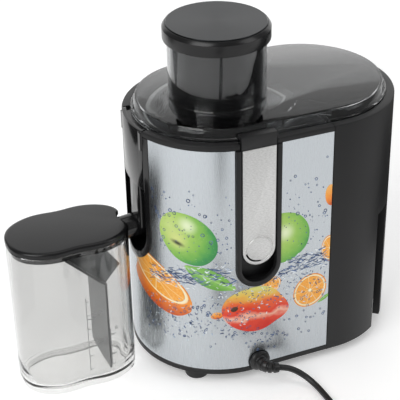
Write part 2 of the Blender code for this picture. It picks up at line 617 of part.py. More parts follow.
def pusher():
    tube = lathe([(0, PUSHER_Z0), (PUSHER_R - 2, PUSHER_Z0), (PUSHER_R, PUSHER_Z0 + 2),
                  (PUSHER_R, 253.6), (31.6, 253.6), (31.6, PUSHER_Z0 + 2.4), (0, PUSHER_Z0 + 2.4)],
                 n=28)
    finish(tube, "pusher", BLACK, (AXIS_X, 0, PUSHER_Z0))
    cap = lathe([(0, CAP_Z0 + 2.4), (29.0, CAP_Z0 + 2.4), (29.0, 248.0), (31.2, 248.0),
                 (31.2, CAP_Z0), (CAP_R - 0.5, CAP_Z0), (CAP_R, CAP_Z0 + 0.5), (CAP_R, 263.4),
                 (37.9, 265.9), (37.5, 265.9), (37.5, 265.0), (0, 265.0)], n=32)
    finish(cap, "pusher_cap", CHARCOAL, (AXIS_X, 0, CAP_Z0))
    disc = lathe([(0, 265.3), (37.2, 265.3), (37.2, 266.3), (36.8, CAP_Z1), (0, CAP_Z1)], n=32)
    finish(disc, "pusher_cap_disc", SPUN, (AXIS_X, 0, CAP_Z0))


# ------------------------------------------------------------ pulp bin
def pulp_bin():
    x0 = SEAM_X + 0.2
    shell = loft([(bin_plan(BODY_R, x0), 0), (bin_plan(BODY_R, x0), RIM_Z1 - 1.3),
                  (bin_plan(BODY_R - 1.3, x0), RIM_Z1)])
    r_in = BODY_R - WALL
    low = keep(prism(bin_plan(r_in, x0 + WALL), 5.2, BIN_RECESS_Z + 3),
               box(0, BIN_RECESS_X - WALL, -90, 90, -5, 200))
    high = loft([(bin_plan(r_in, x0 + WALL), BIN_RECESS_Z + WALL),
                 (bin_plan(r_in, x0 + WALL), 191.0), (bin_plan(61.6, x0 + WALL), 196.0),
                 (bin_plan(61.6, x0 + WALL), SEAT_Z + 1)])
    mouth = prism(bin_plan(SEAT_R, x0 - 9), SEAT_Z, RIM_Z1 + 4)
    grip_r = BODY_R - HANDLE_T
    grip = prism([(BIN_RECESS_X, -90)] + arc(HALF, 0, 96, -HANDLE_ANGLE, -HANDLE_ANGLE + 1, 1)[:1]
                 + arc(HALF, 0, grip_r, -HANDLE_ANGLE, HANDLE_ANGLE, 20)
                 + arc(HALF, 0, 96, HANDLE_ANGLE, HANDLE_ANGLE + 1, 1)[:1]
                 + [(BIN_RECESS_X, 90)], -5, BIN_RECESS_Z)
    tongue = box(SEAM_X - 5, SEAM_X + 19, -47, 47, -4, 2.9)
    inlet = box(x0 - 5, x0 + 6, -45, 45, 178, SEAT_Z + 5)
    cut(shell, low, high, mouth, grip, tongue, inlet)
    finish(shell, "pulp_bin", CHARCOAL, (60, 0, 0))


# ------------------------------------------------------------ jug
def jug():
    def plan(t):
        return ellipse_outline(JUG_A - t, JUG_B - t)
    body = loft([(plan(3.0), JUG_Z0), (plan(0.9), JUG_Z0 + 1.6), (plan(0.2), JUG_Z0 + 5),
                 (plan(0.0), 108.0), (plan(0.0), JUG_Z1)])
    inside = loft([(plan(5.0), JUG_FLOOR), (plan(2.6), JUG_FLOOR + 2.5), (plan(2.0), 20.0),
                   (plan(2.0), JUG_Z1 + 3)])
    hollow = loft([(plan(4.6), JUG_Z0 - 3), (plan(4.6), JUG_FLOOR - 2.4)])
    notch = u_prism_x(11.2, 98.6, 150, -122, -100)
    cut(body, inside, hollow, notch)
    finish(body, "jug", CLEAR, (JUG_X, JUG_Y, JUG_Z0))


def jug_lid():
    def plan(t):
        return ellipse_outline(JUG_A - t, JUG_B - t)
    top = loft([(plan(-0.2), JUG_Z1 + GAP), (plan(-0.2), 120.6), (plan(0.6), 121.8),
                (plan(2.2), JUG_LID_Z1)])
    plug = ring(plan(2.6), plan(4.4), 112.4, JUG_Z1 + 1.2)
    join(top, plug)
    cut(top, prism(arc(NOTCH_X, 0, NOTCH_R, 0, 360, 28)[:-1], 90, 140),
        box(NOTCH_X - 12, -90, -11.6, 11.6, 90, JUG_Z1 + 0.25))
    finish(top, "jug_lid", CHARCOAL, (JUG_X, JUG_Y, JUG_Z1))


def froth_separator():
    """Folded plate that hangs from the jug's lid and holds the froth back."""
    t = 1.6
    profile = [(-136.5, 2.6), (-136.5, 82), (-141.0, 86), (-168.0, 112.1), (-168.0 - t, 112.1),
               (-143.0, 85.2), (-136.5 - t, 81), (-136.5 - t, 2.6)]
    plate = prism(profile, -24.4, 22.0)
    plate.data.transform(Matrix(((1, 0, 0, 0), (0, 0, 1, 0), (0, 1, 0, 0), (0, 0, 0, 1))))
    outward(plate)
    cheek_plan = [(-137.0, 82), (-125.5, 96), (-136.0, 112.1), (-167.0, 112.1), (-142.0, 86)]
    cheeks = []
    for y in (-22.6, 18.8):
        cheek = prism(cheek_plan, y, y + 1.4)
        cheek.data.transform(Matrix(((1, 0, 0, 0), (0, 0, 1, 0), (0, 1, 0, 0), (0, 0, 0, 1))))
        cheeks.append(outward(cheek))
    join(plate, *cheeks)
    finish(plate, "froth_separator", SMOKY, (JUG_X, JUG_Y, JUG_Z1))


# ------------------------------------------------------------ cable
# Metres in the world frame: out of the boot, down to the table, on to the coil,
# and from the coil to the plug.
CORD_ROUTE = [
    (0.0281, -0.0900, 0.0154), (0.0336, -0.0913, 0.0143), (0.0391, -0.0931, 0.0117),
    (0.0448, -0.0966, 0.0081), (0.0491, -0.1022, 0.0048), (0.0514, -0.1087, 0.0031),
    (0.0523, -0.1160, 0.0026), (0.0527, -0.1240, 0.0026), (0.0530, -0.1320, 0.0026),
    (0.0533, -0.1400, 0.0026), (0.0535, -0.1476, 0.0026)]
TAIL_ROUTE = [
    (0.0018, -0.1995, 0.0066), (-0.0046, -0.1944, 0.0064), (-0.0112, -0.1904, 0.0072),
    (-0.0174, -0.1872, 0.0095), (-0.0232, -0.1852, 0.0118), (-0.0282, -0.1846, 0.0125),
    (-0.0330, -0.1845, 0.0125), (-0.0377, -0.1845, 0.0125)]
COIL_AT, COIL_R, COIL_HALF, COIL_H = (27.0, -172.0), 26.5, 7.5, 9.8
PLUG_TIP = Vector((-38.2, -184.5, 12.5))
BOOT_PATH = [(0, 0, 0), (0.6, -6.0, 0), (2.8, -10.2, -0.1), (6.2, -12.6, -0.4), (10.2, -13.6, -0.9)]


def smooth_route(points, step):
    """Points about a step apart along a Catmull-Rom curve through the route."""
    pts = [Vector(p) for p in points]
    pts = [2 * pts[0] - pts[1]] + pts + [2 * pts[-1] - pts[-2]]
    fine = []
    for p0, p1, p2, p3 in zip(pts, pts[1:], pts[2:], pts[3:]):
        for i in range(40):
            t = i / 40
            fine.append(0.5 * (2 * p1 + (p2 - p0) * t + (2 * p0 - 5 * p1 + 4 * p2 - p3) * t * t
                               + (3 * p1 - p0 - 3 * p2 + p3) * t ** 3))
    fine.append(pts[-2])
    length = sum((b - a).length for a, b in zip(fine, fine[1:]))
    spacing = length / round(length / step)
    out, run = [fine[0]], 0.0
    for a, b in zip(fine, fine[1:]):
        run += (b - a).length
        if run >= spacing * len(out) - 1e-9:
            out.append(b)
    out[-1] = fine[-1]
    return out


def sweep(path, radii, n=12, name="tool"):
    """Round tube with a radius at each point of its path, flat ends."""
    path = [Vector(p) for p in path]
    bm = bmesh.new()
    rings = []
    for i, (p, r) in enumerate(zip(path, radii)):
        way = (path[min(i + 1, len(path) - 1)] - path[max(i - 1, 0)]).normalized()
        side = way.cross(Vector((0, 0, 1))).normalized()
        up = side.cross(way)
        rings.append([bm.verts.new(p + r * (side * math.cos(math.tau * k / n)
                                            + up * math.sin(math.tau * k / n)))
                      for k in range(n)])
    for a, b in zip(rings, rings[1:]):
        for k in range(n):
            bm.faces.new((a[k], a[(k + 1) % n], b[(k + 1) % n], b[k]))
    bm.faces.new(rings[0])
    bm.faces.new(rings[-1])
    return mesh_object(name, bm)


def cord_tube(name, route):
    points = smooth_route(route, 2.2 * 2 * CORD_R * UNIT)
    curve = bpy.data.curves.new(name, "CURVE")
    curve.dimensions = "3D"
    curve.bevel_depth = CORD_R * UNIT
    curve.bevel_resolution = 2
    curve.render_resolution_u = 0
    curve.use_fill_caps = True
    line = curve.splines.new("POLY")
    line.points.add(len(points) - 1)
    for slot, p in zip(line.points, points):
        slot.co = (*p, 1.0)
    curve.materials.append(material(name, **RUBBER))
    bpy.context.scene.collection.objects.link(bpy.data.objects.new(name, curve))


def cable():
    boot = turned_along_y([(0, -BODY_R + 12.0), (4.6, -BODY_R + 12.0), (4.6, -BODY_R + 1.3),
                           (8.6, -BODY_R + 1.3), (8.6, -BODY_R - 1.6), (7.8, -BODY_R - 2.6),
                           (0, -BODY_R - 2.6)], GLAND_X, GLAND_Z, 20)
    root = Vector((GLAND_X, -BODY_R - 0.4, GLAND_Z))
    path = smooth_route([root + Vector(p) for p in BOOT_PATH], 2.0)
    radii = [6.2 - 2.7 * i / (len(path) - 1) - (0.7 if i % 2 else 0.0) for i in range(len(path))]
    join(boot, sweep(path, radii))
    finish(boot, "strain_relief", RUBBER)
    cord_tube("power_cord", CORD_ROUTE)
    cord_tube("power_cord_tail", TAIL_ROUTE)
    coil = lathe([(COIL_R - COIL_HALF, 0.2), (COIL_R + COIL_HALF, 0.2),
                  (COIL_R + COIL_HALF, COIL_H), (COIL_R - COIL_HALF, COIL_H)],
                 COIL_AT[0] - ORIGIN.x, COIL_AT[1] - ORIGIN.y, 36, closed=True)
    coil.data.transform(Matrix.Translation((0, 0, -ORIGIN.z)))
    finish(coil, "power_cord_coil", RUBBER)
    tip = PLUG_TIP - ORIGIN
    plug = sweep([tip + Vector((-x, 0, 0)) for x in (0, 9, 12, 30, 33)],
                 (4.2, 5.4, 10.6, 12.2, 12.2), 18)
    plug.data.transform(Matrix.Translation(tip) @ Matrix.Scale(1.4, 4, (0, 1, 0))
                        @ Matrix.Translation(-tip))
    pins = [tip + Vector((-33, side * 9.5, 0)) for side in (-1, 1)]
    cut(plug, *[rod(p + Vector((6, 0, 0)), p - Vector((3, 0, 0)), 2.8, 10) for p in pins])
    finish(plug, "plug", BLACK)
    for p, name in zip(pins, ("plug_pin_a", "plug_pin_b")):
        pin = sweep([p + Vector((-x, 0, 0)) for x in (-5.6, 17, 18.6)], (2.4, 2.4, 1.5), 10)
        finish(pin, name, STEEL)


def main():
    for obj in list(bpy.data.objects):
        bpy.data.objects.remove(obj)
    base_plate()
    feet()
    motor_housing()
    steel_wrap()
    slot_trim()
    spout_recess()
    latches()
    motor()
    drive()
    switch_and_knob()
    juice_bowl()
    filter_basket()
    grater_disc()
    lid()
    pusher()
    pulp_bin()
    jug()
    jug_lid()
    froth_separator()
    cable()


main()
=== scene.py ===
"""A centrifugal juicer with a clear jug, a smoky lid and a fruit print on brushed steel.

The pieces are drawn in millimetres from the middle of the body's underside, X
towards the pulp bin and -Y towards the side with the cable, and are then put
where the frame has them.
"""
import math

import bmesh
import bpy
from mathutils import Matrix, Vector


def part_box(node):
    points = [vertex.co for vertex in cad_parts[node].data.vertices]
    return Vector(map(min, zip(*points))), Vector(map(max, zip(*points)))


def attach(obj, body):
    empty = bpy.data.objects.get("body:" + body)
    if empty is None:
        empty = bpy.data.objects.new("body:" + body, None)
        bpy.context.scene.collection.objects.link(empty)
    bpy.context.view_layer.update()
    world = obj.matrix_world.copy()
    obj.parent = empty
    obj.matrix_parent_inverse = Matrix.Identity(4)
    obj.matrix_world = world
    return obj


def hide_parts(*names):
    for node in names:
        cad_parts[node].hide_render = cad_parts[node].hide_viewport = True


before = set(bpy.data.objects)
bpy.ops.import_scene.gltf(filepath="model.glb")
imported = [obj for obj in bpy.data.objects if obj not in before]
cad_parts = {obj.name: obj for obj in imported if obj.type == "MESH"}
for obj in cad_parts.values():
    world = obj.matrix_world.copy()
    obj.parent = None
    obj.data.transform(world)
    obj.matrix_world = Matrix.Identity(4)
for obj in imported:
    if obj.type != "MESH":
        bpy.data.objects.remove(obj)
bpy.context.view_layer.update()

# ------------------------------------------------------------------ studio
# A white table with soft boxes over it, and a long-focus view from the left,
# thirty degrees above the table.
MM = 0.001
lid_low, lid_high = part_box("lid")
MIDDLE = Vector(((lid_low.x + lid_high.x) / 2, (lid_low.y + lid_high.y) / 2,
                 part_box("base_plate")[0].z))
VIEW_FROM = MIDDLE + Vector((-0.3538, -0.7704, 0.6124))
VIEW_TO = MIDDLE + Vector((0.0, 0.0, 0.1213))
VIEW_ROLL = math.radians(0.345)


def tone(code):
    """Linear colour from an sRGB hex value."""
    parts = [int(code[i:i + 2], 16) / 255 for i in (1, 3, 5)]
    return tuple(p / 12.92 if p <= 0.04045 else ((p + 0.055) / 1.055) ** 2.4
                 for p in parts) + (1.0,)


def add(tree, kind, sockets=None, **settings):
    """Add a node: its settings, and its sockets as values or as other nodes' outputs."""
    made = tree.nodes.new(kind)
    for key, value in settings.items():
        setattr(made, key, value)
    for key, value in (sockets or {}).items():
        if isinstance(value, bpy.types.NodeSocket):
            tree.links.new(value, made.inputs[key])
        else:
            made.inputs[key].default_value = value
    return made


def substance(name, code, rough, metal=0.0, **sockets):
    """A Principled material; returns it with its tree and its shader."""
    mat = bpy.data.materials.new(name)
    mat.use_nodes = True
    shader = mat.node_tree.nodes["Principled BSDF"]
    shader.inputs["Base Color"].default_value = tone(code)
    shader.inputs["Roughness"].default_value = rough
    shader.inputs["Metallic"].default_value = metal
    for key, value in sockets.items():
        shader.inputs[key.replace("_", " ")].default_value = value
    return mat, mat.node_tree, shader


def places(tree, scale=None, turn=(0.0, 0.0, 0.0)):
    """Object coordinates, stretched and turned where a texture needs it."""
    where = add(tree, "ShaderNodeTexCoord").outputs["Object"]
    if scale is None:
        return where
    return add(tree, "ShaderNodeMapping", {"Vector": where, "Scale": scale, "Rotation": turn}).outputs[0]


def noise(tree, vector, scale, detail=2.0, rough=0.5):
    sockets = {"Vector": vector, "Scale": scale, "Detail": detail, "Roughness": rough}
    return add(tree, "ShaderNodeTexNoise", sockets).outputs["Fac"]


def bumped(tree, shader, height, strength, depth=0.0002):
    """Give the surface a fine relief, depth in metres."""
    relief = add(tree, "ShaderNodeBump", {"Height": height, "Strength": strength, "Distance": depth})
    tree.links.new(relief.outputs["Normal"], shader.inputs["Normal"])


def sheen(tree, shader, value, low, high):
    """Let the roughness wander between two values."""
    wander = add(tree, "ShaderNodeMapRange", {"Value": value, "To Min": low, "To Max": high})
    tree.links.new(wander.outputs["Result"], shader.inputs["Roughness"])


def refinish(node, mat):
    """Give a piece that stays as the frame has it its finish."""
    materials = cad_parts[node].data.materials
    materials.clear()
    materials.append(mat)


def link_new(name, data):
    obj = bpy.data.objects.new(name, data)
    bpy.context.scene.collection.objects.link(obj)
    return obj


WHITE = "#ffffff"
table_paint = substance("white_table_paint", "#f7f7f7", 0.6, Emission_Color=tone(WHITE),
                        Emission_Strength=0.26)[0]
table_mesh = bpy.data.meshes.new("table")
table_mesh.from_pydata([(-4, -4, 0), (4, -4, 0), (4, 6, 0), (-4, 6, 0)], [], [(0, 1, 2, 3)])
table_mesh.materials.append(table_paint)
link_new("table", table_mesh)

world = bpy.data.worlds.new("studio")
bpy.context.scene.world = world
world.use_nodes = True
sky = world.node_tree.nodes["Background"]
sky.inputs["Color"].default_value = tone(WHITE)
sky.inputs["Strength"].default_value = 0.30

for name, place, aim, size, power in (
        ("soft_box_left", (-1.1, -0.7, 1.2), (0, 0, 0.15), (1.0, 1.2), 15),
        ("soft_box_right", (1.2, -0.9, 1.1), (0, 0, 0.15), (0.8, 1.2), 6),
        ("soft_box_top", (0.1, 0.1, 1.9), (0, 0, 0.1), (1.4, 1.0), 4),
        ("soft_box_back", (0.75, 1.7, 0.95), (0, 0, 0.25), (4.4, 2.1), 25)):
    lamp = bpy.data.lights.new(name, "AREA")
    lamp.shape = "RECTANGLE"
    lamp.size, lamp.size_y = size
    lamp.energy = power
    box_light = link_new(name, lamp)
    box_light.location = place
    box_light.rotation_euler = (Vector(aim) - Vector(place)).to_track_quat("-Z", "Y").to_euler()

# Black cards lie on the table beside the view and draw dark bands on what is glossy.
flag_felt = substance("black_felt", "#050505", 0.9)[0]
CARD_Z = 0.002
for name, (x0, x1, y0, y1) in (
        ("card_right", (0.27, 0.9, -0.12, 0.42)),
        ("card_rear", (-0.9, -0.36, 0.30, 0.6)),
        ("card_front", (-0.16, -0.09, -0.95, -0.36))):
    card_mesh = bpy.data.meshes.new(name)
    corners = [(x, y, CARD_Z) for x, y in ((x0, y0), (x1, y0), (x1, y1), (x0, y1))]
    card_mesh.from_pydata(corners, [], [(0, 1, 2, 3)])
    card_mesh.materials.append(flag_felt)
    card = link_new(name, card_mesh)
    card.visible_camera = card.visible_shadow = False
    card.visible_diffuse = card.visible_transmission = False

camera = bpy.data.cameras.new("view")
camera.lens = 112.03
camera.shift_x, camera.shift_y = -0.1485, -0.0366
eye = link_new("view", camera)
eye.location = VIEW_FROM
look = (VIEW_TO - VIEW_FROM).to_track_quat("-Z", "Y").to_matrix()
eye.rotation_euler = (look @ Matrix.Rotation(VIEW_ROLL, 3, "Z")).to_euler()
bpy.context.scene.camera = eye
bpy.context.scene.view_settings.view_transform = "Standard"

# ------------------------------------------------------------------ power cord
# A round two-core mains lead with a satin PVC sheath, 0.85 m long.
# What is not in use lies in a small coil, in two layers, the plug beside it.
CORD_D = 4.8 * MM
CORD_ROUTE = [
    (0.0281, -0.0900, 0.0154), (0.0336, -0.0913, 0.0143), (0.0391, -0.0931, 0.0117),
    (0.0448, -0.0966, 0.0081), (0.0491, -0.1022, 0.0048), (0.0514, -0.1087, 0.0031),
    (0.0523, -0.1160, 0.0026), (0.0527, -0.1240, 0.0026), (0.0530, -0.1320, 0.0026),
    (0.0533, -0.1400, 0.0026), (0.0535, -0.1476, 0.0026)]
TAIL_ROUTE = [
    (0.0018, -0.1995, 0.0066), (-0.0046, -0.1944, 0.0064), (-0.0112, -0.1904, 0.0072),
    (-0.0174, -0.1872, 0.0095), (-0.0232, -0.1852, 0.0118), (-0.0282, -0.1846, 0.0125),
    (-0.0330, -0.1845, 0.0125), (-0.0377, -0.1845, 0.0125)]
coil_low, coil_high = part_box("power_cord_coil")
coil_mid = (coil_low + coil_high) / 2
LANES = ((31.3, 2.6), (26.5, 2.6), (21.7, 2.6), (24.1, 6.8), (28.9, 6.8))   # radius, height
LANE_HOLD = 0.78                # share of a turn before the lead moves to the next lane
COIL_TURNS, TURN_STEPS = 4.28, 16


def coil_point(turn):
    """Where the lead is after so many turns, clockwise from the east."""
    lane = min(int(turn), len(LANES) - 1)
    (r, z), (r_next, z_next) = LANES[lane], LANES[min(lane + 1, len(LANES) - 1)]
    share = max(0.0, (turn - lane - LANE_HOLD) / (1 - LANE_HOLD))
    share = share * share * (3 - 2 * share)
    r, z = r + (r_next - r) * share, z + (z_next - z) * share
    angle = -math.tau * turn
    return (coil_mid.x + r * MM * math.cos(angle), coil_mid.y + r * MM * math.sin(angle), z * MM)


steps = int(COIL_TURNS * TURN_STEPS)
line_points = (CORD_ROUTE + [coil_point(COIL_TURNS * i / steps) for i in range(1, steps + 1)]
               + [(0.0105, -0.2022, 0.0069)] + TAIL_ROUTE)
cord_curve = bpy.data.curves.new("power_cord_lead", "CURVE")
cord_curve.dimensions = "3D"
cord_curve.bevel_depth = CORD_D / 2
cord_curve.bevel_resolution = 6
cord_curve.resolution_u = 4
cord_curve.render_resolution_u = 4
cord_curve.use_fill_caps = True
lead = cord_curve.splines.new("NURBS")
lead.points.add(len(line_points) - 1)
for knot, place in zip(lead.points, line_points):
    knot.co = (*place, 1.0)
lead.order_u = 3
lead.use_endpoint_u = True
sheath, tree, shader = substance("black_pvc_sheath", "#161617", 0.42)
bumped(tree, shader, noise(tree, places(tree), 900.0, 3.0), 0.12)
cord_curve.materials.append(sheath)
power_lead = link_new("power_cord_lead", cord_curve)
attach(power_lead, "housing")
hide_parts("power_cord", "power_cord_coil", "power_cord_tail")

# ------------------------------------------------------------------ boot of the cord
# Moulded in soft black PVC with the cord through it: a flange in the housing's
# wall, then a tapering neck with grooves that lets the lead bend.
ARC = 64                        # segments on a half circle of the body


def arc(cx, cy, r, start, end, n=ARC):
    """Points on an arc, angles in degrees, both ends included."""
    return [(cx + r * math.cos(math.radians(start + (end - start) * i / n)),
             cy + r * math.sin(math.radians(start + (end - start) * i / n))) for i in range(n + 1)]


def mesh_object(name, bm):
    bmesh.ops.recalc_face_normals(bm, faces=bm.faces)
    mesh = bpy.data.meshes.new(name)
    bm.to_mesh(mesh)
    bm.free()
    return link_new(name, mesh)


def sweep(path, radii, n=28, name="sweep", flat=1.0):
    """Round bar with its own radius at each point of its path."""
    path = [Vector(p) for p in path]
    bm = bmesh.new()
    rings = []
    for i, (p, r) in enumerate(zip(path, radii)):
        way = (path[min(i + 1, len(path) - 1)] - path[max(i - 1, 0)]).normalized()
        side = way.cross(Vector((0, 0, 1))).normalized()
        up = side.cross(way)
        rings.append([bm.verts.new(p + r * (side * math.cos(math.tau * k / n) * flat
                                            + up * math.sin(math.tau * k / n))) for k in range(n)])
    for a, b in zip(rings, rings[1:]):
        for k in range(n):
            bm.faces.new((a[k], a[(k + 1) % n], b[(k + 1) % n], b[k]))
    bm.faces.new(rings[0])
    bm.faces.new(rings[-1])
    return mesh_object(name, bm)


def settle(obj, mat, body, *nodes, slot=None, sharp=32):
    """Put a piece drawn on the bench in its place on the juicer, with its finish."""
    obj.data.transform(Matrix.Translation(MIDDLE) @ Matrix.Scale(MM, 4))
    obj.data.materials.clear()
    obj.data.materials.append(mat)
    obj.data.shade_smooth()
    obj.data.set_sharp_from_angle(angle=math.radians(sharp))
    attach(obj, body)
    if nodes:
        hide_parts(*nodes)
    return obj


def span(node):
    """A CAD piece's box in millimetres from the middle of the body's underside."""
    low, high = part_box(node)
    return (low - MIDDLE) / MM, (high - MIDDLE) / MM


gland_x, gland_z, body_r = -31.6, 9.0, 70.0
boot_way = [(0, 12), (0, 0.6), (0, 0.5), (0, -1.7), (0, -2.5), (0.1, -2.7)]
boot_radii = [4.6, 4.6, 8.4, 8.4, 7.4, 6.2]
NECK = [(0.1, -2.9, 0), (0.5, -5.6, 0), (2.2, -9.6, -0.1), (5.6, -12.6, -0.4), (10.2, -13.7, -0.9)]
NECK_STEPS = 32
neck = []
for i in range(NECK_STEPS + 1):
    t = i / NECK_STEPS * (len(NECK) - 1)
    k = min(int(t), len(NECK) - 2)
    p0, p1, p2, p3 = (Vector(NECK[min(max(k + j, 0), len(NECK) - 1)]) for j in (-1, 0, 1, 2))
    t -= k
    neck.append(0.5 * (2 * p1 + (p2 - p0) * t + (2 * p0 - 5 * p1 + 4 * p2 - p3) * t * t
                       + (3 * p1 - p0 - 3 * p2 + p3) * t ** 3))


def groove(step):
    """How deep the neck is grooved at a step along it: four grooves, none at its ends."""
    wave = math.sin(math.tau * (step - 5) / 6)
    return 0.95 * wave ** 0.6 if 5 <= step <= 29 and wave > 0 else 0.0


boot_path = [(x, y, 0) for x, y in boot_way] + [tuple(p) for p in neck]
boot_radii += [6.2 - 2.5 * i / NECK_STEPS - groove(i) for i in range(NECK_STEPS + 1)]
boot = sweep([(gland_x + x, -body_r - 0.4 + y, gland_z + z) for x, y, z in boot_path], boot_radii,
             name="cord_boot")
boot_rubber = substance("black_soft_pvc", "#131314", 0.34)[0]
settle(boot, boot_rubber, "housing", "strain_relief", slot="soft_rubber")

# ------------------------------------------------------------------ plug
# Moulded round the lead's end: an oval grip with a waist and a flat face, and
# two nickel-plated pins that stay as they are in the frame.
plug_low, plug_high = span("plug")
tip = Vector((plug_high.x, (plug_low.y + plug_high.y) / 2, (plug_low.z + plug_high.z) / 2))
profile = [(0, 3.2), (0.6, 4.2), (8, 5.0), (11, 6.4), (13, 9.0), (15, 11.2), (18, 12.0),
           (30, 12.2), (32.2, 12.0), (33, 11.2)]
grip = sweep([tip - Vector((x, 0, 0)) for x, r in profile], [r for x, r in profile], 40,
             "plug_grip", flat=1.38)
settle(grip, boot_rubber, "housing", "plug", slot="gloss_black")
nickel = substance("nickel_plate", "#c9c7c0", 0.22, 1.0)[0]
for pin in ("plug_pin_a", "plug_pin_b"):
    refinish(pin, nickel)

# ------------------------------------------------------------------ base plate and feet
# The foot of the motor body is a dark ABS tray; four rubber feet are screwed
# through it, and slots in its floor let the motor's air in.
HALF = 36.0                     # the body's round ends are centred this far from its middle
AXIS_X = -34.7                  # the motor's axis, which the bowl, basket and chute share
KNOB_Z = 48.0
ABOVE = 230.0                   # a height past the top of every wall, for cutters
seam_x = span("steel_wrap")[1].x + 0.4
WALL = 2.3


def drum(r, x_end):
    """Plan of the motor side: a half circle at -X, straight to x_end."""
    return arc(-HALF, 0, r, 90, 270) + [(x_end, -r), (x_end, r)]


def loft(levels, name="loft"):
    """Stack of outlines with the same count, closed at both ends."""
    bm = bmesh.new()
    rings = [[bm.verts.new((x, y, z)) for x, y in pts] for pts, z in levels]
    for low, high in zip(rings, rings[1:]):
        for i in range(len(low)):
            j = (i + 1) % len(low)
            bm.faces.new((low[i], low[j], high[j], high[i]))
    bm.faces.new(rings[0])
    bm.faces.new(rings[-1])
    return mesh_object(name, bm)


def prism(points, z0, z1):
    return loft([(points, z0), (points, z1)])


def block(x0, x1, y0, y1, z0, z1):
    return prism([(x0, y0), (x1, y0), (x1, y1), (x0, y1)], z0, z1)


def turned(profile, x, y, n=72, name="turned", closed=False):
    """Turn (radius, z) points about a vertical axis; closed joins last to first."""
    bm = bmesh.new()
    rows = [[bm.verts.new((x + r * math.cos(math.tau * k / n), y + r * math.sin(math.tau * k / n), z))
             for k in range(n)] if r else [bm.verts.new((x, y, z))] for r, z in profile]
    for a, b in list(zip(rows, rows[1:])) + ([(rows[-1], rows[0])] if closed else []):
        for k in range(n):
            m = (k + 1) % n
            if len(a) == 1:
                bm.faces.new((a[0], b[k], b[m]))
            elif len(b) == 1:
                bm.faces.new((a[k], b[0], a[m]))
            else:
                bm.faces.new((a[k], b[k], b[m], a[m]))
    return mesh_object(name, bm)


def rod(r, z0, z1, x, y, n):
    """A plain upright cylinder."""
    return turned([(0, z0), (r, z0), (r, z1), (0, z1)], x, y, n)


def lying(obj, x, z):
    """Turn a piece drawn about Z so that its axis runs along Y through (x, z)."""
    obj.data.transform(Matrix.Translation((x, 0, z)) @ Matrix.Rotation(math.radians(-90), 4, "X"))
    return obj


def applied(obj):
    """Apply an object's modifiers."""
    graph = bpy.context.evaluated_depsgraph_get()
    mesh = bpy.data.meshes.new_from_object(obj.evaluated_get(graph))
    obj.modifiers.clear()
    obj.data = mesh
    return obj


def outward(obj):
    """Turn every face outwards."""
    bm = bmesh.new()
    bm.from_mesh(obj.data)
    bmesh.ops.recalc_face_normals(bm, faces=bm.faces)
    bm.to_mesh(obj.data)
    bm.free()
    return obj


def shaped(operation, target, tools):
    """One exact Boolean of the target with all its tools, which are used up."""
    bench = bpy.data.collections.new("bench")
    bpy.context.scene.collection.children.link(bench)
    for tool in tools:
        outward(tool)
        bench.objects.link(tool)
    mod = target.modifiers.new("shape", "BOOLEAN")
    mod.operation, mod.solver, mod.operand_type = operation, "EXACT", "COLLECTION"
    mod.collection = bench
    applied(target)
    for tool in tools:
        bpy.data.objects.remove(tool)
    bpy.data.collections.remove(bench)
    return target


def cut(target, *tools):
    return shaped("DIFFERENCE", target, tools)


def join(target, *tools):
    return shaped("UNION", target, tools)


def eased(obj, width, segments=2, angle=50):
    """Break the sharp edges as a mould does."""
    bm = bmesh.new()
    bm.from_mesh(obj.data)
    bmesh.ops.remove_doubles(bm, verts=bm.verts, dist=0.002)
    bmesh.ops.dissolve_limit(bm, angle_limit=math.radians(0.2), verts=bm.verts, edges=bm.edges)
    bm.to_mesh(obj.data)
    bm.free()
    mod = obj.modifiers.new("ease", "BEVEL")
    mod.width, mod.segments = width, segments
    mod.limit_method, mod.angle_limit = "ANGLE", math.radians(angle)
    return applied(obj)


# ABS with a fine spark-eroded grain: it scatters the soft boxes into a broad sheen.
charcoal, tree, shader = substance("charcoal_abs", "#141415", 0.42, Specular_IOR_Level=0.36)
sheen(tree, shader, noise(tree, places(tree), 22.0, 3.0), 0.38, 0.47)
bumped(tree, shader, noise(tree, places(tree), 1400.0), 0.10)

band_z = 4.9
plate = loft([(drum(body_r - 1.0, seam_x - 0.6), 0), (drum(body_r, seam_x), 0.9),
              (drum(body_r, seam_x), band_z - 0.4), (drum(body_r - 0.4, seam_x - 0.4), band_z)],
             "base_tray")
feet = [(x, y) for x in (-73.7, 13.0) for y in (-44.8, 44.8)]
gland_hole = lying(rod(9.0, -76, -64, 0, 0, 40), gland_x, gland_z)
cut(plate, prism(drum(body_r - 2.2, seam_x - 2.4), 2.8, band_z + 5), gland_hole,
    *[block(-56.7 + 6 * i, -53.7 + 6 * i, -14, 14, -2, 6) for i in range(8)],
    *[rod(2.2, -2, 8, x, y, 20) for x, y in feet])
join(plate, block(seam_x - 8, seam_x + 17.5, -46, 46, 0.3, 2.5))
settle(plate, charcoal, "housing", "base_plate", slot="charcoal_plastic")

foot_rubber = substance("black_foot_rubber", "#101011", 0.55)[0]
for (x, y), side in zip(feet, ("front_left", "rear_left", "front_right", "rear_right")):
    foot = turned([(2.3, -3.2), (4.0, -3.2), (4.2, -7.1), (4.6, -7.5), (8.0, -7.5), (8.8, -7.1),
                   (9.3, -6.2), (9.3, -0.4), (9.1, -0.3), (2.3, -0.3)], x, y, 48,
                  "rubber_foot_" + side, closed=True)
    settle(foot, foot_rubber, "housing", "foot_" + side, slot="soft_rubber")

# ------------------------------------------------------------------ motor housing
# One ABS moulding: the wall behind the steel, the dark rim that shows above it,
# the deck over the motor, the posts for the motor and the bosses for the feet.
rim_z0, rim_z1 = 197.1, 201.2
seat_r, seat_z = 63.8, 199.2
deck_z0, deck_z1 = 136.0, 139.0
latch_x = -32.2
slot_foot = 86.3


def u_outline(half, z0, z_top, n=32):
    return arc(0, z0 + half, half, 180, 360, n) + [(half, z_top), (-half, z_top)]


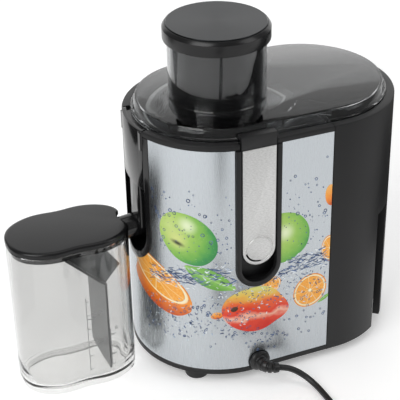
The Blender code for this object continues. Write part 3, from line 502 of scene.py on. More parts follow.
def u_along_x(half, z0, z_top, x0, x1):
    obj = prism(u_outline(half, z0, z_top), x0, x1)
    obj.data.transform(Matrix(((0, 0, 1, 0), (1, 0, 0, 0), (0, 1, 0, 0), (0, 0, 0, 1))))
    return outward(obj)


def u_along_y(half, z0, z_top, y0, y1):
    obj = prism(u_outline(half, z0, z_top), y0, y1)
    obj.data.transform(Matrix(((1, 0, 0, latch_x), (0, 0, 1, 0), (0, 1, 0, 0), (0, 0, 0, 1))))
    return outward(obj)


def other_side(obj):
    obj.data.transform(Matrix.Scale(-1, 4, (0, 1, 0)))
    return outward(obj)


x_end = seam_x - 0.2
wall_r = body_r - 1.3
shell = loft([(drum(wall_r, x_end), band_z + 0.3), (drum(wall_r, x_end), rim_z0),
              (drum(body_r, x_end), rim_z0 + 0.05), (drum(body_r, x_end), rim_z1 - 1.3),
              (drum(body_r - 0.4, x_end), rim_z1 - 0.4), (drum(body_r - 1.3, x_end), rim_z1)],
             "housing_shell")
inner = wall_r - WALL
above = loft([(drum(inner, x_end - WALL), deck_z1), (drum(inner, x_end - WALL), 187.0),
              (drum(61.2, x_end - WALL), 191.5), (drum(61.2, x_end - WALL), 194.0)])
cut(shell, prism(drum(inner, x_end - WALL), band_z - 3, deck_z0), above,
    prism(drum(seat_r, x_end + 9), 193.6, rim_z1 + 3))
join(shell, *[rod(4.2, 115.6, 137, AXIS_X + dx, dy, 24)
              for dx in (-26, 26) for dy in (-22, 22)],
     *[rod(4.8, 5.2, 19, x, y, 24) for x, y in feet])


def latch_pockets():
    """Room in the near wall for a latch's cup, its hook and its bezel."""
    return [block(latch_x - 17.1, latch_x + 17.1, -76, -59.9, 81.0, 190.8),
            block(latch_x - 14.6, latch_x + 14.6, -76, -62.0, 186.0, 205.2),
            u_along_y(18.2, 78.8, rim_z0, -76, -body_r + 3.4)]


cut(shell, rod(12, 130, 145, AXIS_X, 0, 72),
    block(x_end - 6, x_end + 5, -45, 45, 178, rim_z1 + 5),
    block(-111, -78.4, -24.8, 24.8, slot_foot + 1.4, deck_z1 + 5),
    block(-111, -88, -21.9, 21.9, slot_foot + 20, rim_z1 + 5),
    lying(rod(6.2, -75, -56, 0, 0, 32), gland_x, gland_z),
    lying(rod(9.1, -75.5, -68.4, 0, 0, 40), gland_x, gland_z),
    lying(rod(7.2, 58, 75, 0, 0, 32), latch_x, KNOB_Z),
    *[rod(2.1, 3, 17.5, x, y, 20) for x, y in feet],
    *latch_pockets(), *[other_side(room) for room in latch_pockets()])
settle(shell, charcoal, "housing", "motor_housing", slot="charcoal_plastic")

# ------------------------------------------------------------------ brushed steel wrap
# Stainless sheet 0.7 mm thick, brushed upwards and bent round the motor side,
# held by its edges between the base tray and the housing's rim.
STEEL_R = body_r - 0.2
SKIN = 0.7
wrap_top = rim_z0 - 0.3
edge_x = seam_x - 0.4
outline = ([(edge_x, -STEEL_R)] + arc(-HALF, 0, STEEL_R, 270, 90) + [(edge_x, STEEL_R)]
           + [(edge_x, STEEL_R - SKIN)] + arc(-HALF, 0, STEEL_R - SKIN, 90, 270)
           + [(edge_x, -STEEL_R + SKIN)])
wrap = prism(outline, band_z + 0.4, wrap_top)
cut(wrap, u_along_x(27.3, slot_foot - 0.3, ABOVE, -118, -76),
    lying(rod(8.9, -75, -64, 0, 0, 48), gland_x, gland_z),
    lying(rod(7.2, 64, 75, 0, 0, 40), latch_x, KNOB_Z),
    u_along_y(18.2, 78.8, ABOVE, -79, -61), other_side(u_along_y(18.2, 78.8, ABOVE, -79, -61)))
brushed, tree, shader = substance("brushed_stainless_steel", "#bcc1c5", 0.27, 1.0)
lines = noise(tree, places(tree, (1.0, 1.0, 0.02)), 2600.0)
sheen(tree, shader, lines, 0.23, 0.31)
bumped(tree, shader, lines, 0.10, 0.0001)
settle(wrap, brushed, "housing", "steel_wrap", slot="brushed_steel")

# ------------------------------------------------------------------ fruit print
# Inks screen-printed on the steel, a few hundredths of a millimetre thick: two
# green apples, half an orange, slices, a mango, leaves and splashing water.
INK = 0.04
UV_MIDDLE = (0.5, 0.5, 0.0)
BLACK = "#000000"
FIRST_INK, SECOND_INK, DROP_INK = 0.03, 0.09, 0.16      # how far each layer stands off the steel


def on_wrap(u, z, lift):
    """A spot on the steel: u along it from the middle of the flat side, z up."""
    r = STEEL_R + lift
    if u >= -HALF:
        return (u, -r, z)
    turn = (-HALF - u) / STEEL_R
    return (-HALF - r * math.sin(turn), -r * math.cos(turn), z)


def inside_u(across, z, half, foot):
    """Whether a spot lies in a U-shaped opening that is open at its top."""
    return (abs(across) < half and z > foot + half) or math.hypot(across, z - foot - half) < half


def round_outline(knots):
    """Radius by direction: a closed smooth curve through (degrees, radius) knots from 0 degrees."""
    spots = knots + [(360, knots[0][1])]

    def radius(angle):
        angle %= 360
        (a, ra), (b, rb) = next(pair for pair in zip(spots, spots[1:]) if angle <= pair[1][0])
        t = (angle - a) / (b - a)
        t = t * t * (3 - 2 * t)
        return ra + (rb - ra) * t
    return radius


def inked(name, centre, size, turn, mat, lift, shape=None, spokes=72, rings=12):
    """A printed spot: an ellipse, or an outline by direction, turned and wrapped on the steel."""
    bm = bmesh.new()
    layer = bm.loops.layers.uv.new("print")
    spots = {}
    c, s = math.cos(math.radians(turn)), math.sin(math.radians(turn))

    def spot(ring, spoke):
        spoke %= spokes
        key = (ring, spoke if ring else 0)
        if key not in spots:
            t, angle = ring / rings, math.tau * spoke / spokes
            reach = t * (shape(math.degrees(angle)) if shape else 1.0)
            x, z = reach * size[0] * math.cos(angle), reach * size[1] * math.sin(angle)
            u, z = centre[0] + x * c - z * s, centre[1] + x * s + z * c
            vert = bm.verts.new(on_wrap(u, z, lift))
            spots[key] = (vert, (0.5 + 0.5 * t * math.cos(angle), 0.5 + 0.5 * t * math.sin(angle)), u, z)
        return spots[key]

    for ring in range(rings):
        for spoke in range(spokes):
            corners = [spot(ring, spoke), spot(ring + 1, spoke), spot(ring + 1, spoke + 1)]
            if ring:
                corners.append(spot(ring, spoke + 1))
            u = sum(p[2] for p in corners) / len(corners)
            z = sum(p[3] for p in corners) / len(corners)
            y = -STEEL_R * math.cos((-HALF - u) / STEEL_R) if u < -HALF else -STEEL_R
            if (inside_u(u - latch_x, z, 16.6, 79.6) or (u < -90 and inside_u(y, z, 25.6, 87.6))
                    or u > edge_x or z < band_z + 1):
                continue
            face = bm.faces.new([p[0] for p in corners])
            for loop, p in zip(face.loops, corners):
                loop[layer].uv = p[1]
    loose = [v for v in bm.verts if not v.link_faces]
    bmesh.ops.delete(bm, geom=loose, context="VERTS")
    obj = mesh_object(name, bm)
    way = Vector(obj.data.polygons[0].normal)
    here = Vector(obj.data.polygons[0].center)
    if way.dot(Vector((here.x + HALF if here.x < -HALF else 0, here.y, 0))) < 0:
        obj.data.flip_normals()
    thick = obj.modifiers.new("ink", "SOLIDIFY")
    thick.thickness, thick.offset = INK, 1.0
    applied(obj)
    return settle(obj, mat, "housing", slot="brushed_steel")


def inks(name, rough=0.30):
    """A printed finish with its tree, its shader and its UV."""
    mat, tree, shader = substance(name, WHITE, rough)
    return mat, tree, shader, add(tree, "ShaderNodeTexCoord").outputs["UV"]


def reckoned(tree, operation, first, second=None, third=None):
    """One step of arithmetic on values."""
    given = {i: value for i, value in enumerate((first, second, third)) if value is not None}
    return add(tree, "ShaderNodeMath", given, operation=operation).outputs[0]


def less(tree, vector, middle):
    return add(tree, "ShaderNodeVectorMath", {0: vector, 1: middle}, operation="SUBTRACT").outputs[0]


def length_of(tree, vector):
    return add(tree, "ShaderNodeVectorMath", {0: vector}, operation="LENGTH").outputs["Value"]


def away(tree, vector, spot):
    """How far a vector is from a spot."""
    return add(tree, "ShaderNodeVectorMath", {0: vector, 1: spot}, operation="DISTANCE").outputs["Value"]


def fading(tree, value, start, end, top, **how):
    """Falls from top, at the start of a range, to nothing at its end."""
    sockets = {"Value": value, "From Min": start, "From Max": end, "To Min": top, "To Max": 0.0}
    return add(tree, "ShaderNodeMapRange", sockets, **how).outputs[0]


def over(tree, share, below, above):
    """One colour laid over another by its share."""
    return add(tree, "ShaderNodeMix", {0: share, 6: below, 7: above}, data_type="RGBA").outputs[2]


def ramp(tree, value, stops, interpolation="LINEAR"):
    """Colours, or greys, along a value from 0 to 1."""
    node = add(tree, "ShaderNodeValToRGB", {"Fac": value})
    band = node.color_ramp
    band.interpolation = interpolation
    while len(band.elements) < len(stops):
        band.elements.new(0.5)
    for element, (place, code) in zip(band.elements, stops):
        element.position = place
        element.color = tone(code)
    return node.outputs["Color"]


def apple_ink(name, sunny, light, dimple):
    """Apple skin: yellowish on one side, deep green on the other, with fine pale flecks."""
    mat, tree, shader, uv = inks(name)
    blur = noise(tree, uv, 6.0, 4.0)
    soft = reckoned(tree, "MULTIPLY_ADD", blur, 0.16, away(tree, uv, sunny))
    skin = ramp(tree, soft, [(0.06, "#c6da84"), (0.30, "#b2d069"), (0.50, "#97c455"), (0.68, "#6fb045"),
                             (0.80, "#3a9448"), (0.95, "#257c44")])
    glint = fading(tree, away(tree, uv, light), 0.0, 0.22, 0.85, interpolation_type="SMOOTHSTEP")
    skin = over(tree, glint, skin, tone("#eaf3cf"))
    fleck = add(tree, "ShaderNodeTexVoronoi", {"Vector": uv, "Scale": 26.0}).outputs["Distance"]
    skin = over(tree, fading(tree, fleck, 0.05, 0.16, 0.5), skin, tone("#dcebb0"))
    if dimple:
        glow = fading(tree, away(tree, uv, dimple[0]), 0.05, 0.24, 0.75)
        skin = over(tree, glow, skin, tone("#d6dc8a"))
        near = add(tree, "ShaderNodeMapping", {"Vector": uv, "Location": dimple[1], "Rotation": (0, 0, 0.45),
                                               "Scale": (0.125, 0.05, 1.0)}, vector_type="TEXTURE")
        dark = fading(tree, length_of(tree, near.outputs[0]), 0.3, 1.25, 0.95)
        skin = over(tree, dark, skin, tone("#26301a"))
    tree.links.new(skin, shader.inputs["Base Color"])
    return mat


def citrus_ink(name, peel, pulp, cells):
    """A cut orange: peel, white pith, and wedges of pulp with pale skins between them."""
    mat, tree, shader, uv = inks(name)
    flat = less(tree, uv, UV_MIDDLE)
    reach = length_of(tree, flat)
    parts = add(tree, "ShaderNodeSeparateXYZ", {0: flat})
    angle = reckoned(tree, "ARCTAN2", parts.outputs["Y"], parts.outputs["X"])
    wedge = reckoned(tree, "MULTIPLY", angle, cells / math.tau)
    wall = reckoned(tree, "MULTIPLY", reckoned(tree, "PINGPONG", wedge, 0.5), reach)
    ray = add(tree, "ShaderNodeCombineXYZ", {"X": wedge, "Y": reach})
    fine = add(tree, "ShaderNodeMapping", {"Vector": ray.outputs[0], "Scale": (3.0, 9.0, 1.0)})
    sacs = noise(tree, fine.outputs[0], 3.2, 4.0)
    flesh = ramp(tree, sacs, [(0.30, pulp[0]), (0.52, pulp[1]), (0.72, pulp[2])])
    flesh = over(tree, fading(tree, wall, 0.004, 0.02, 0.75), flesh, tone("#fbe2a6"))
    rim = ramp(tree, reach, [(0.0, "#fff4dc"), (0.045, "#fff0cc"), (0.06, BLACK), (0.415, BLACK),
                             (0.43, "#fbf0cf"), (0.462, "#f6e2b0"), (0.476, peel)])
    share = ramp(tree, reach, [(0.045, WHITE), (0.06, BLACK), (0.415, BLACK), (0.43, WHITE)])
    tree.links.new(over(tree, share, flesh, rim), shader.inputs["Base Color"])
    return mat


def skin_ink(name, stops, side, cloud_scale=5.0, wave=0.3):
    """Fruit skin or leaf whose colours run across it in one direction, clouded a little."""
    mat, tree, shader, uv = inks(name)
    flat = less(tree, uv, UV_MIDDLE)
    along = add(tree, "ShaderNodeVectorMath", {0: flat, 1: side}, operation="DOT_PRODUCT")
    cloud = noise(tree, uv, cloud_scale, 5.0)
    value = reckoned(tree, "MULTIPLY_ADD", cloud, wave, along.outputs["Value"])
    shift = reckoned(tree, "ADD", value, 0.5 - wave / 2)
    tree.links.new(ramp(tree, shift, stops), shader.inputs["Base Color"])
    return mat


apple_shape = round_outline([(0, 1.03), (40, 1.0), (80, 0.97), (125, 0.97), (165, 1.0), (205, 0.98),
                             (250, 0.95), (300, 0.99), (335, 1.04)])
inked("print_apple_left", (-86.5, 123), (24.5, 20.5), -38,
      apple_ink("green_apple_ink", (0.18, 0.46, 0), (0.36, 0.74, 0), ((0.40, 0.33, 0), (0.44, 0.285, 0))),
      FIRST_INK, apple_shape)
inked("print_apple_right", (-13.5, 116), (22.3, 22.5), 0,
      apple_ink("green_apple_ink_turned", (0.34, 0.60, 0), (0.56, 0.60, 0), None), FIRST_INK, apple_shape)
peel = skin_ink("orange_peel_ink", [(0.1, "#c9520c"), (0.35, "#ee8420"), (0.6, "#f5a03c"), (0.9, "#f7b45c")],
                (-0.2, 0.9, 0))
inked("print_orange_half", (-113.0, 73.5), (31.0, 15.5), -20, peel, FIRST_INK,
      round_outline([(0, 1.0), (60, 0.95), (120, 0.95), (180, 0.9), (235, 1.16), (300, 1.22), (340, 1.08)]))
orange_cut = citrus_ink("cut_orange_ink", "#ef8f22", ("#ee8c18", "#f7aa3a", "#fbc568"), 9)
inked("print_orange_face", (-114.5, 81.5), (33.0, 13.2), -28, orange_cut, SECOND_INK)
inked("print_orange_slice", (11.2, 62.5), (15.2, 13.8), 60, orange_cut, FIRST_INK)
inked("print_orange_small", (-22.5, 75.5), (9.5, 7.0), 35, orange_cut, FIRST_INK)
inked("print_orange_edge_top", (26.4, 144), (4.6, 9.0), 4, peel, FIRST_INK)
inked("print_orange_edge_low", (27.2, 97), (7.0, 11.5), 6, orange_cut, FIRST_INK)
leaf_shape = round_outline([(0, 1.0), (35, 0.86), (90, 1.0), (145, 0.86), (180, 1.0), (215, 0.86), (270, 1.0),
                            (325, 0.86)])
leaf_ink = skin_ink("green_leaf_ink", [(0.2, "#6aa844"), (0.44, "#86bf58"), (0.5, "#a6d07a"),
                                       (0.56, "#84bd55"), (0.9, "#74b04c")], (0, 0.9, 0), 9.0, 0.12)
inked("print_leaf_left", (-69.5, 89.5), (21.5, 7.8), -27, leaf_ink, SECOND_INK, leaf_shape)
inked("print_leaf_right", (24.0, 52.0), (6.5, 1.6), 30, leaf_ink, 0.02, leaf_shape)
mango_ink = skin_ink("mango_skin_ink", [(0.10, "#cf2718"), (0.27, "#e2452c"), (0.37, "#f2b9a0"),
                                        (0.46, "#e0361f"), (0.62, "#e8622c"), (0.76, "#e6bb52"),
                                        (0.92, "#d9d77a")], (-0.22, 0.80, 0), 3.2, 0.42)
inked("print_mango", (-33.5, 57.5), (28.0, 19.5), -14, mango_ink, SECOND_INK,
      round_outline([(0, 0.98), (40, 0.90), (90, 1.06), (140, 1.02), (180, 1.0), (225, 1.02), (275, 1.02),
                     (320, 0.88)]))
stalk_ink = skin_ink("fruit_stalk_ink", [(0.2, "#2a1b14"), (0.8, "#5a3d2a")], (0, 0.5, 0))
inked("print_mango_stalk", (-51.5, 61.5), (2.9, 2.1), 25, stalk_ink, 0.15, spokes=24, rings=4)
inked("print_orange_bit", (-64.8, 56.4), (4.8, 3.1), 10, peel, FIRST_INK, spokes=32, rings=4)

# ------------------------------------------------------------------ printed water
# Splashes and drops in dark and pale blue ink: streaks in a wide band across the
# fruit, small rings and beads above and below it.
SCATTER = bpy.data.node_groups.new("printed_drops", "GeometryNodeTree")


def named_inputs(tree, sockets):
    """Declare a Geometry Nodes tree's inputs and its one output."""
    for label, kind in sockets:
        tree.interface.new_socket(label, in_out="INPUT", socket_type=kind)
    tree.interface.new_socket("Geometry", in_out="OUTPUT", socket_type="NodeSocketGeometry")


def grown(obj, tree, **inputs):
    """Run a Geometry Nodes tree on a piece and keep its plain mesh."""
    mod = obj.modifiers.new("grow", "NODES")
    mod.node_group = tree
    for item in tree.interface.items_tree:
        label = item.name.replace(" ", "_").lower()
        if item.in_out == "INPUT" and label in inputs:
            mod[item.identifier] = inputs[label]
    return applied(obj)


def finished(tree, geometry, finish):
    """End a Geometry Nodes tree with real meshes that have their material."""
    real = add(tree, "GeometryNodeRealizeInstances", {0: geometry})
    done = add(tree, "GeometryNodeSetMaterial", {"Geometry": real.outputs[0], "Material": finish})
    add(tree, "NodeGroupOutput", {0: done.outputs[0]})


named_inputs(SCATTER, [("Geometry", "NodeSocketGeometry"), ("Density", "NodeSocketFloat"),
                       ("Smallest", "NodeSocketFloat"), ("Largest", "NodeSocketFloat"),
                       ("Stretch", "NodeSocketVector"), ("Lean", "NodeSocketFloat"),
                       ("Rings", "NodeSocketBool"), ("Seed", "NodeSocketInt"),
                       ("Finish", "NodeSocketMaterial")])
ask = add(SCATTER, "NodeGroupInput").outputs
strewn = add(SCATTER, "GeometryNodeDistributePointsOnFaces",
             {"Mesh": ask["Geometry"], "Density": ask["Density"], "Seed": ask["Seed"]})
level = add(SCATTER, "ShaderNodeVectorMath", {0: strewn.outputs["Normal"], 1: (0, 0, 1)},
            operation="CROSS_PRODUCT")
outwards = add(SCATTER, "FunctionNodeAlignRotationToVector", {"Vector": strewn.outputs["Normal"]}, axis="Z")
along = add(SCATTER, "FunctionNodeAlignRotationToVector",
            {"Rotation": outwards.outputs[0], "Vector": level.outputs[0]}, axis="X", pivot_axis="Z")
bead = add(SCATTER, "GeometryNodeMeshIcoSphere", {"Radius": 1.0, "Subdivisions": 2})
hoop = add(SCATTER, "GeometryNodeCurvePrimitiveCircle", {"Resolution": 14, "Radius": 1.0})
wire = add(SCATTER, "GeometryNodeCurvePrimitiveCircle", {"Resolution": 5, "Radius": 0.24})
band = add(SCATTER, "GeometryNodeCurveToMesh", {"Curve": hoop.outputs[0], "Profile Curve": wire.outputs[0]})
pick = add(SCATTER, "GeometryNodeSwitch", {"Switch": ask["Rings"], "False": bead.outputs[0],
                                           "True": band.outputs[0]}, input_type="GEOMETRY")
sizes = add(SCATTER, "FunctionNodeRandomValue", {2: ask["Smallest"], 3: ask["Largest"], "Seed": ask["Seed"]},
            data_type="FLOAT")
shape_of = add(SCATTER, "ShaderNodeVectorMath", {0: ask["Stretch"], "Scale": sizes.outputs[1]},
               operation="SCALE")
put = add(SCATTER, "GeometryNodeInstanceOnPoints",
          {"Points": strewn.outputs["Points"], "Instance": pick.outputs[0],
           "Rotation": along.outputs[0], "Scale": shape_of.outputs[0]})
lean_low = reckoned(SCATTER, "MULTIPLY", ask["Lean"], -1.0)
lean = add(SCATTER, "FunctionNodeRandomValue", {2: lean_low, 3: ask["Lean"], "Seed": 7},
           data_type="FLOAT")
tilt = add(SCATTER, "ShaderNodeCombineXYZ", {"Z": lean.outputs[1]})
turned_on = add(SCATTER, "GeometryNodeRotateInstances",
                {"Instances": put.outputs[0], "Rotation": tilt.outputs[0], "Local Space": True})
finished(SCATTER, turned_on.outputs[0], ask["Finish"])


def strewn_ink(name, path, wide, mat, **inputs):
    """Drops strewn on a strip of the steel that follows (u, z) points, wide above and below."""
    bm = bmesh.new()
    rows = []
    for (ua, za), (ub, zb) in zip(path, path[1:]):
        n = max(1, int((ub - ua) / 2))
        rows += [(ua + (ub - ua) * i / n, za + (zb - za) * i / n) for i in range(n)]
    rows.append(path[-1])
    pairs = [[bm.verts.new(on_wrap(u, z + side, DROP_INK)) for side in (-wide, wide)] for u, z in rows]
    for a, b in zip(pairs, pairs[1:]):
        bm.faces.new((a[1], a[0], b[0], b[1]))
    strip = bpy.data.meshes.new(name)
    bm.to_mesh(strip)
    bm.free()
    obj = grown(link_new(name, strip), SCATTER, finish=mat, **inputs)
    bm = bmesh.new()
    bm.from_mesh(obj.data)
    hidden = []
    for vert in bm.verts:
        x, y, z = vert.co
        if (inside_u(x - latch_x, z, 19.5, 77.6) and y < -60) or (x < -90 and inside_u(y, z, 28.5, 84.6)):
            hidden.append(vert)
    islands = set()
    for vert in hidden:
        if vert in islands:
            continue
        grow = [vert]
        while grow:
            v = grow.pop()
            if v not in islands:
                islands.add(v)
                grow += [e.other_vert(v) for e in v.link_edges]
    bmesh.ops.delete(bm, geom=list(islands), context="VERTS")
    bm.to_mesh(obj.data)
    bm.free()
    return settle(obj, mat, "housing", slot="brushed_steel")


def water_ink(name, dark, light, scale):
    mat, tree, shader = substance(name, WHITE, 0.25)
    cloud = noise(tree, places(tree), scale, 3.0)
    tree.links.new(ramp(tree, cloud, [(0.35, dark), (0.62, light)]), shader.inputs["Base Color"])
    return mat


deep_water = water_ink("dark_blue_water_ink", "#24375f", "#6d82a8", 260.0)
pale_water = water_ink("pale_water_ink", "#a9bcd2", "#f3f7fa", 260.0)
SPLASH = [(-121, 84), (-100, 88), (-62, 92), (-20, 88), (edge_x - 2, 92)]
FLOW = [(-128, 46), (-90, 50), (-60, 60), (-10, 74), (edge_x - 2, 72)]
ROUND = (1.0, 1.0, 0.10)        # as wide as tall, and thin
for name, path, wide, mat, density, smallest, largest, stretch, lean, rings, seed in (
        ("splash_dark", SPLASH, 7, deep_water, 0.16, 0.22, 0.80, (4.8, 0.55, 0.12), 0.55, False, 3),
        ("splash_pale", SPLASH, 10, pale_water, 0.07, 0.25, 0.7, (3.2, 0.7, 0.12), 0.9, False, 11),
        ("flow_dark", FLOW, 17, deep_water, 0.075, 0.16, 0.55, (2.6, 0.7, 0.12), 1.4, False, 21),
        ("flow_pale", FLOW, 20, pale_water, 0.035, 0.2, 0.6, (2.2, 0.8, 0.12), 1.5, False, 23),
        ("rings_high", [(-122, 140), (-60, 138), (-20, 150), (edge_x - 3, 152)], 26, deep_water,
         0.011, 0.45, 1.3, ROUND, 3.1, True, 5),
        ("beads_high", [(-122, 132), (-60, 128), (-20, 130), (edge_x - 3, 128)], 26, deep_water,
         0.022, 0.2, 0.6, ROUND, 3.1, False, 8),
        ("rings_low", [(-100, 50), (-60, 44), (-20, 34), (edge_x - 3, 44)], 20, deep_water,
         0.018, 0.4, 1.0, ROUND, 3.1, True, 6),
        ("streak_low", [(-84, 47), (-60, 40), (-30, 30), (-8, 31)], 5, deep_water,
         0.05, 0.2, 0.6, (2.6, 0.7, 0.12), 1.0, False, 9)):
    strewn_ink("print_" + name, path, wide, mat, density=density, smallest=smallest, largest=largest,
               stretch=stretch, lean=lean, rings=rings, seed=seed)

# ------------------------------------------------------------------ spout opening
# A glossy black edging, moulded in ABS and clipped round the opening in the steel,
# and the trough behind it that keeps drips out of the motor's room.
gloss, tree, shader = substance("polished_black_abs", "#141415", 0.13)
sheen(tree, shader, noise(tree, places(tree), 60.0, 6.0, 0.65), 0.09, 0.19)
bumped(tree, shader, noise(tree, places(tree), 35.0), 0.05, 0.0006)

slot_half, trim_half = 21.6, 27.0
trim = loft([(arc(-HALF, 0, body_r + 0.2, 150, 210) + arc(-HALF, 0, body_r - 1.0, 210, 150), z)
             for z in (slot_foot - 5, wrap_top)], "spout_edging")
shaped("INTERSECT", trim, [u_along_x(trim_half, slot_foot, ABOVE, -115, -76)])
cut(trim, u_along_x(slot_half + 0.3, slot_foot + 5.2, ABOVE, -118, -76))
settle(eased(trim, 0.35), gloss, "housing", "spout_slot_trim", slot="gloss_black")
x0, x1 = -body_r - HALF + 3.8, -body_r - HALF + 27.2
trough = block(x0, x1, -24.4, 24.4, slot_foot + 1.8, deck_z0 - 0.3)
cut(trough, block(x0 - 5, x1 - 2, -22.4, 22.4, slot_foot + 4, deck_z1 + 9))
shaped("INTERSECT", trough, [prism(drum(body_r - 1.4, seam_x), 60, 180)])
settle(trough, gloss, "housing", "spout_recess", slot="gloss_black")

# ------------------------------------------------------------------ latches
# A rocker on each long side: a charcoal ABS lever with a grained metal inlay, in a
# U-shaped bezel; pressing its foot swings its hook off the lid's flange.
grained, tree, shader = substance("grained_aluminium_foil", "#cfcfce", 0.42, 0.82)
grain = noise(tree, places(tree, (0.35, 1.0, 1.0), (0, 0.5, 0)), 1500.0, 3.0, 0.7)
tint = ramp(tree, grain, [(0.30, "#bcbcba"), (0.50, "#cfcfce"), (0.70, "#dededd")])
tree.links.new(tint, shader.inputs["Base Color"])
bumped(tree, shader, grain, 0.25)
for side, flip in (("front", False), ("rear", True)):
    bezel = u_along_y(17.9, 79.1, wrap_top, -body_r - 0.9, -body_r + 3.1)
    cut(bezel, u_along_y(14.2, 83.6, ABOVE, -body_r - 9, -body_r + 9))
    eased(bezel, 0.45)
    cup = block(latch_x - 16.8, latch_x + 16.8, -body_r + 2.8, -60.2, 81.3, 190.5)
    cut(cup, block(latch_x - 14.8, latch_x + 14.8, -body_r - 3, -61.6, 83.3, ABOVE))
    join(bezel, cup)
    lever = u_along_y(13.8, 98.0, 206.9, -body_r - 0.2, -body_r + 3.4)
    hook = block(latch_x - 13.8, latch_x + 13.8, -body_r + 3.2, -62.9, 203.9, 206.9)
    join(lever, hook)
    cut(lever, u_along_y(13.4, 98.4, 196.6, -body_r - 3, -body_r + 0.4))
    eased(lever, 0.5)
    inlay = u_along_y(13.1, 98.7, 196.3, -body_r - 0.6, -body_r + 0.1)
    moat = turned([(9.4, -body_r - 1.4), (11.3, -body_r - 1.4), (11.0, -body_r - 0.05),
                   (9.9, -body_r - 0.05)], 0, 0, 64, closed=True)
    cut(inlay, lying(moat, latch_x, 112.2))
    eased(inlay, 0.22, 2, 40)
    for piece, mat, body, node, slot in (
            (bezel, charcoal, "housing", "latch_bezel_" + side, "charcoal_plastic"),
            (lever, charcoal, "latch_" + side, "latch_lever_" + side, "charcoal_plastic"),
            (inlay, grained, "latch_" + side, "latch_inlay_" + side, "grained_inlay")):
        if flip:
            other_side(piece)
        piece.name = node + "_look"
        settle(piece, mat, body, node, slot=slot)

# ------------------------------------------------------------------ control knob
# A turned-looking ABS knob on the rear, fluted for the fingers, with a mark cut in its face.
knob = turned([(0, 66.0), (3.0, 66.0), (3.0, 70.5), (15.2, 70.5), (16.2, 71.2), (16.2, 71.8), (15.7, 73.0),
               (14.7, 81.6), (14.3, 82.5), (13.5, 83.0), (0, 83.0)], 0, 0, 72, "knob_grip")
flutes = [turned([(0, 73.5), (0.9, 73.5), (0.9, 90), (0, 90)], 15.5 * math.cos(math.tau * k / 24),
                 15.5 * math.sin(math.tau * k / 24), 10) for k in range(24)]
cut(knob, *flutes, block(-0.9, 0.9, -12, -4, 82.3, 86))
lying(knob, latch_x, KNOB_Z)
settle(knob, charcoal, "knob", "control_knob", slot="charcoal_plastic")

# ------------------------------------------------------------------ motor and drive
# A universal motor inside: laminated iron, enamelled copper, a brass commutator and
# ball bearings. The nylon fan and dog are fixed on its shaft.
LOOKS = {
    "laminated_iron": ("#5d5f61", 0.45, 0.9, "#47494b", 700.0,
                       ("motor_stator", "armature_core", "motor_bracket_lower", "motor_bracket_upper")),
    "enamelled_copper_wire": ("#a8562a", 0.35, 0.8, "#7d3a1c", 900.0,
                              ("field_coil_a", "field_coil_b", "armature_winding_lower",
                               "armature_winding_upper")),
    "turned_brass": ("#b89045", 0.30, 1.0, "#93702f", 500.0, ("commutator",)),
    "ground_steel": ("#b5b7b9", 0.24, 1.0, "#8f9193", 600.0,
                     ("bearing_lower", "bearing_upper", "motor_shaft", "latch_pin_front", "latch_pin_rear",
                      "screw_front_left", "screw_front_right", "screw_rear_left", "screw_rear_right")),
    "natural_nylon": ("#cfcabb", 0.45, 0.0, "#bdb7a6", 120.0, ("cooling_fan", "drive_coupling")),
    "switch_phenolic": ("#1c1c1e", 0.40, 0.0, "#28282b", 300.0, ("rotary_switch",))}
for label, (code, rough, metal, second, scale, nodes) in LOOKS.items():
    mat, tree, shader = substance(label, code, rough, metal)
    grain = noise(tree, places(tree, (0.2, 0.2, 1.0)), scale)
    tree.links.new(ramp(tree, grain, [(0.35, second), (0.6, code)]), shader.inputs["Base Color"])
    bumped(tree, shader, grain, 0.2)
    for node in nodes:
        refinish(node, mat)

# ------------------------------------------------------------------ juice bowl and spout
# Black ABS bowl under the basket, one moulding with the flange it hangs by, the
# curved cover over the spout's opening, and the spout itself.
flange_r = 63.4
cover_z0, bowl_z0, bowl_floor = 152.5, 142.5, 145.0
notch_x, notch_r = -105.5, 12.6


def hook_gates():
    """Room for the latch hooks to pass a flange."""
    return [block(latch_x - 15, latch_x + 15, y, y + 8, 190, 203.2) for y in (-70.4, 62.4)]


def bar(start, end, r, r_end=None, n=40):
    return sweep([start, end], [r, r if r_end is None else r_end], n, "bar")


bowl = turned([(0, bowl_z0), (56.8, bowl_z0), (58.4, bowl_z0 + 0.6), (59.0, bowl_z0 + 2.0), (59.0, 195.0),
               (0, 195.0)], AXIS_X, 0, 96, "juice_bowl_moulding")
panel = loft([(arc(-HALF, 0, body_r, 162.1, 197.9, 32) + arc(-HALF, 0, body_r - 3.4, 197.9, 162.1, 32), z)
              for z in (cover_z0, rim_z1)])
eased(panel, 0.6)
spout = sweep([(-92, 0, 112.9), (-114, 0, 110.8), (-117.2, 0, 110.5), (-118.2, 0, 110.4)],
              [9.3, 9.3, 9.1, 8.4], 48, "spout")
join(bowl, prism(drum(flange_r, seam_x - 0.8), 194.3, seat_z),
     block(10, seam_x + 7.5, -42, 42, 180.5, 183.0), block(-100.5, -88, -20.6, 20.6, 181, 195), panel,
     block(-103.9, -96, -20.6, 20.6, 185, seat_z), eased(block(-103.2, -90, -10.4, 10.4, 112, 158), 2.2, 4))
tip_plan = arc(notch_x, 0, notch_r - 0.5, 90, 270, 40) + [(-80, -12.1), (-80, 12.1)]
shaped("INTERSECT", spout, [prism(tip_plan, 90, 130)])
join(bowl, spout)
cut(bowl, turned([(0, bowl_floor), (56.0, bowl_floor), (56.8, bowl_floor + 1), (56.8, 210), (0, 210)],
                 AXIS_X, 0, 96))
join(bowl, rod(14.0, bowl_z0 + 0.5, 158.0, AXIS_X, 0, 56))
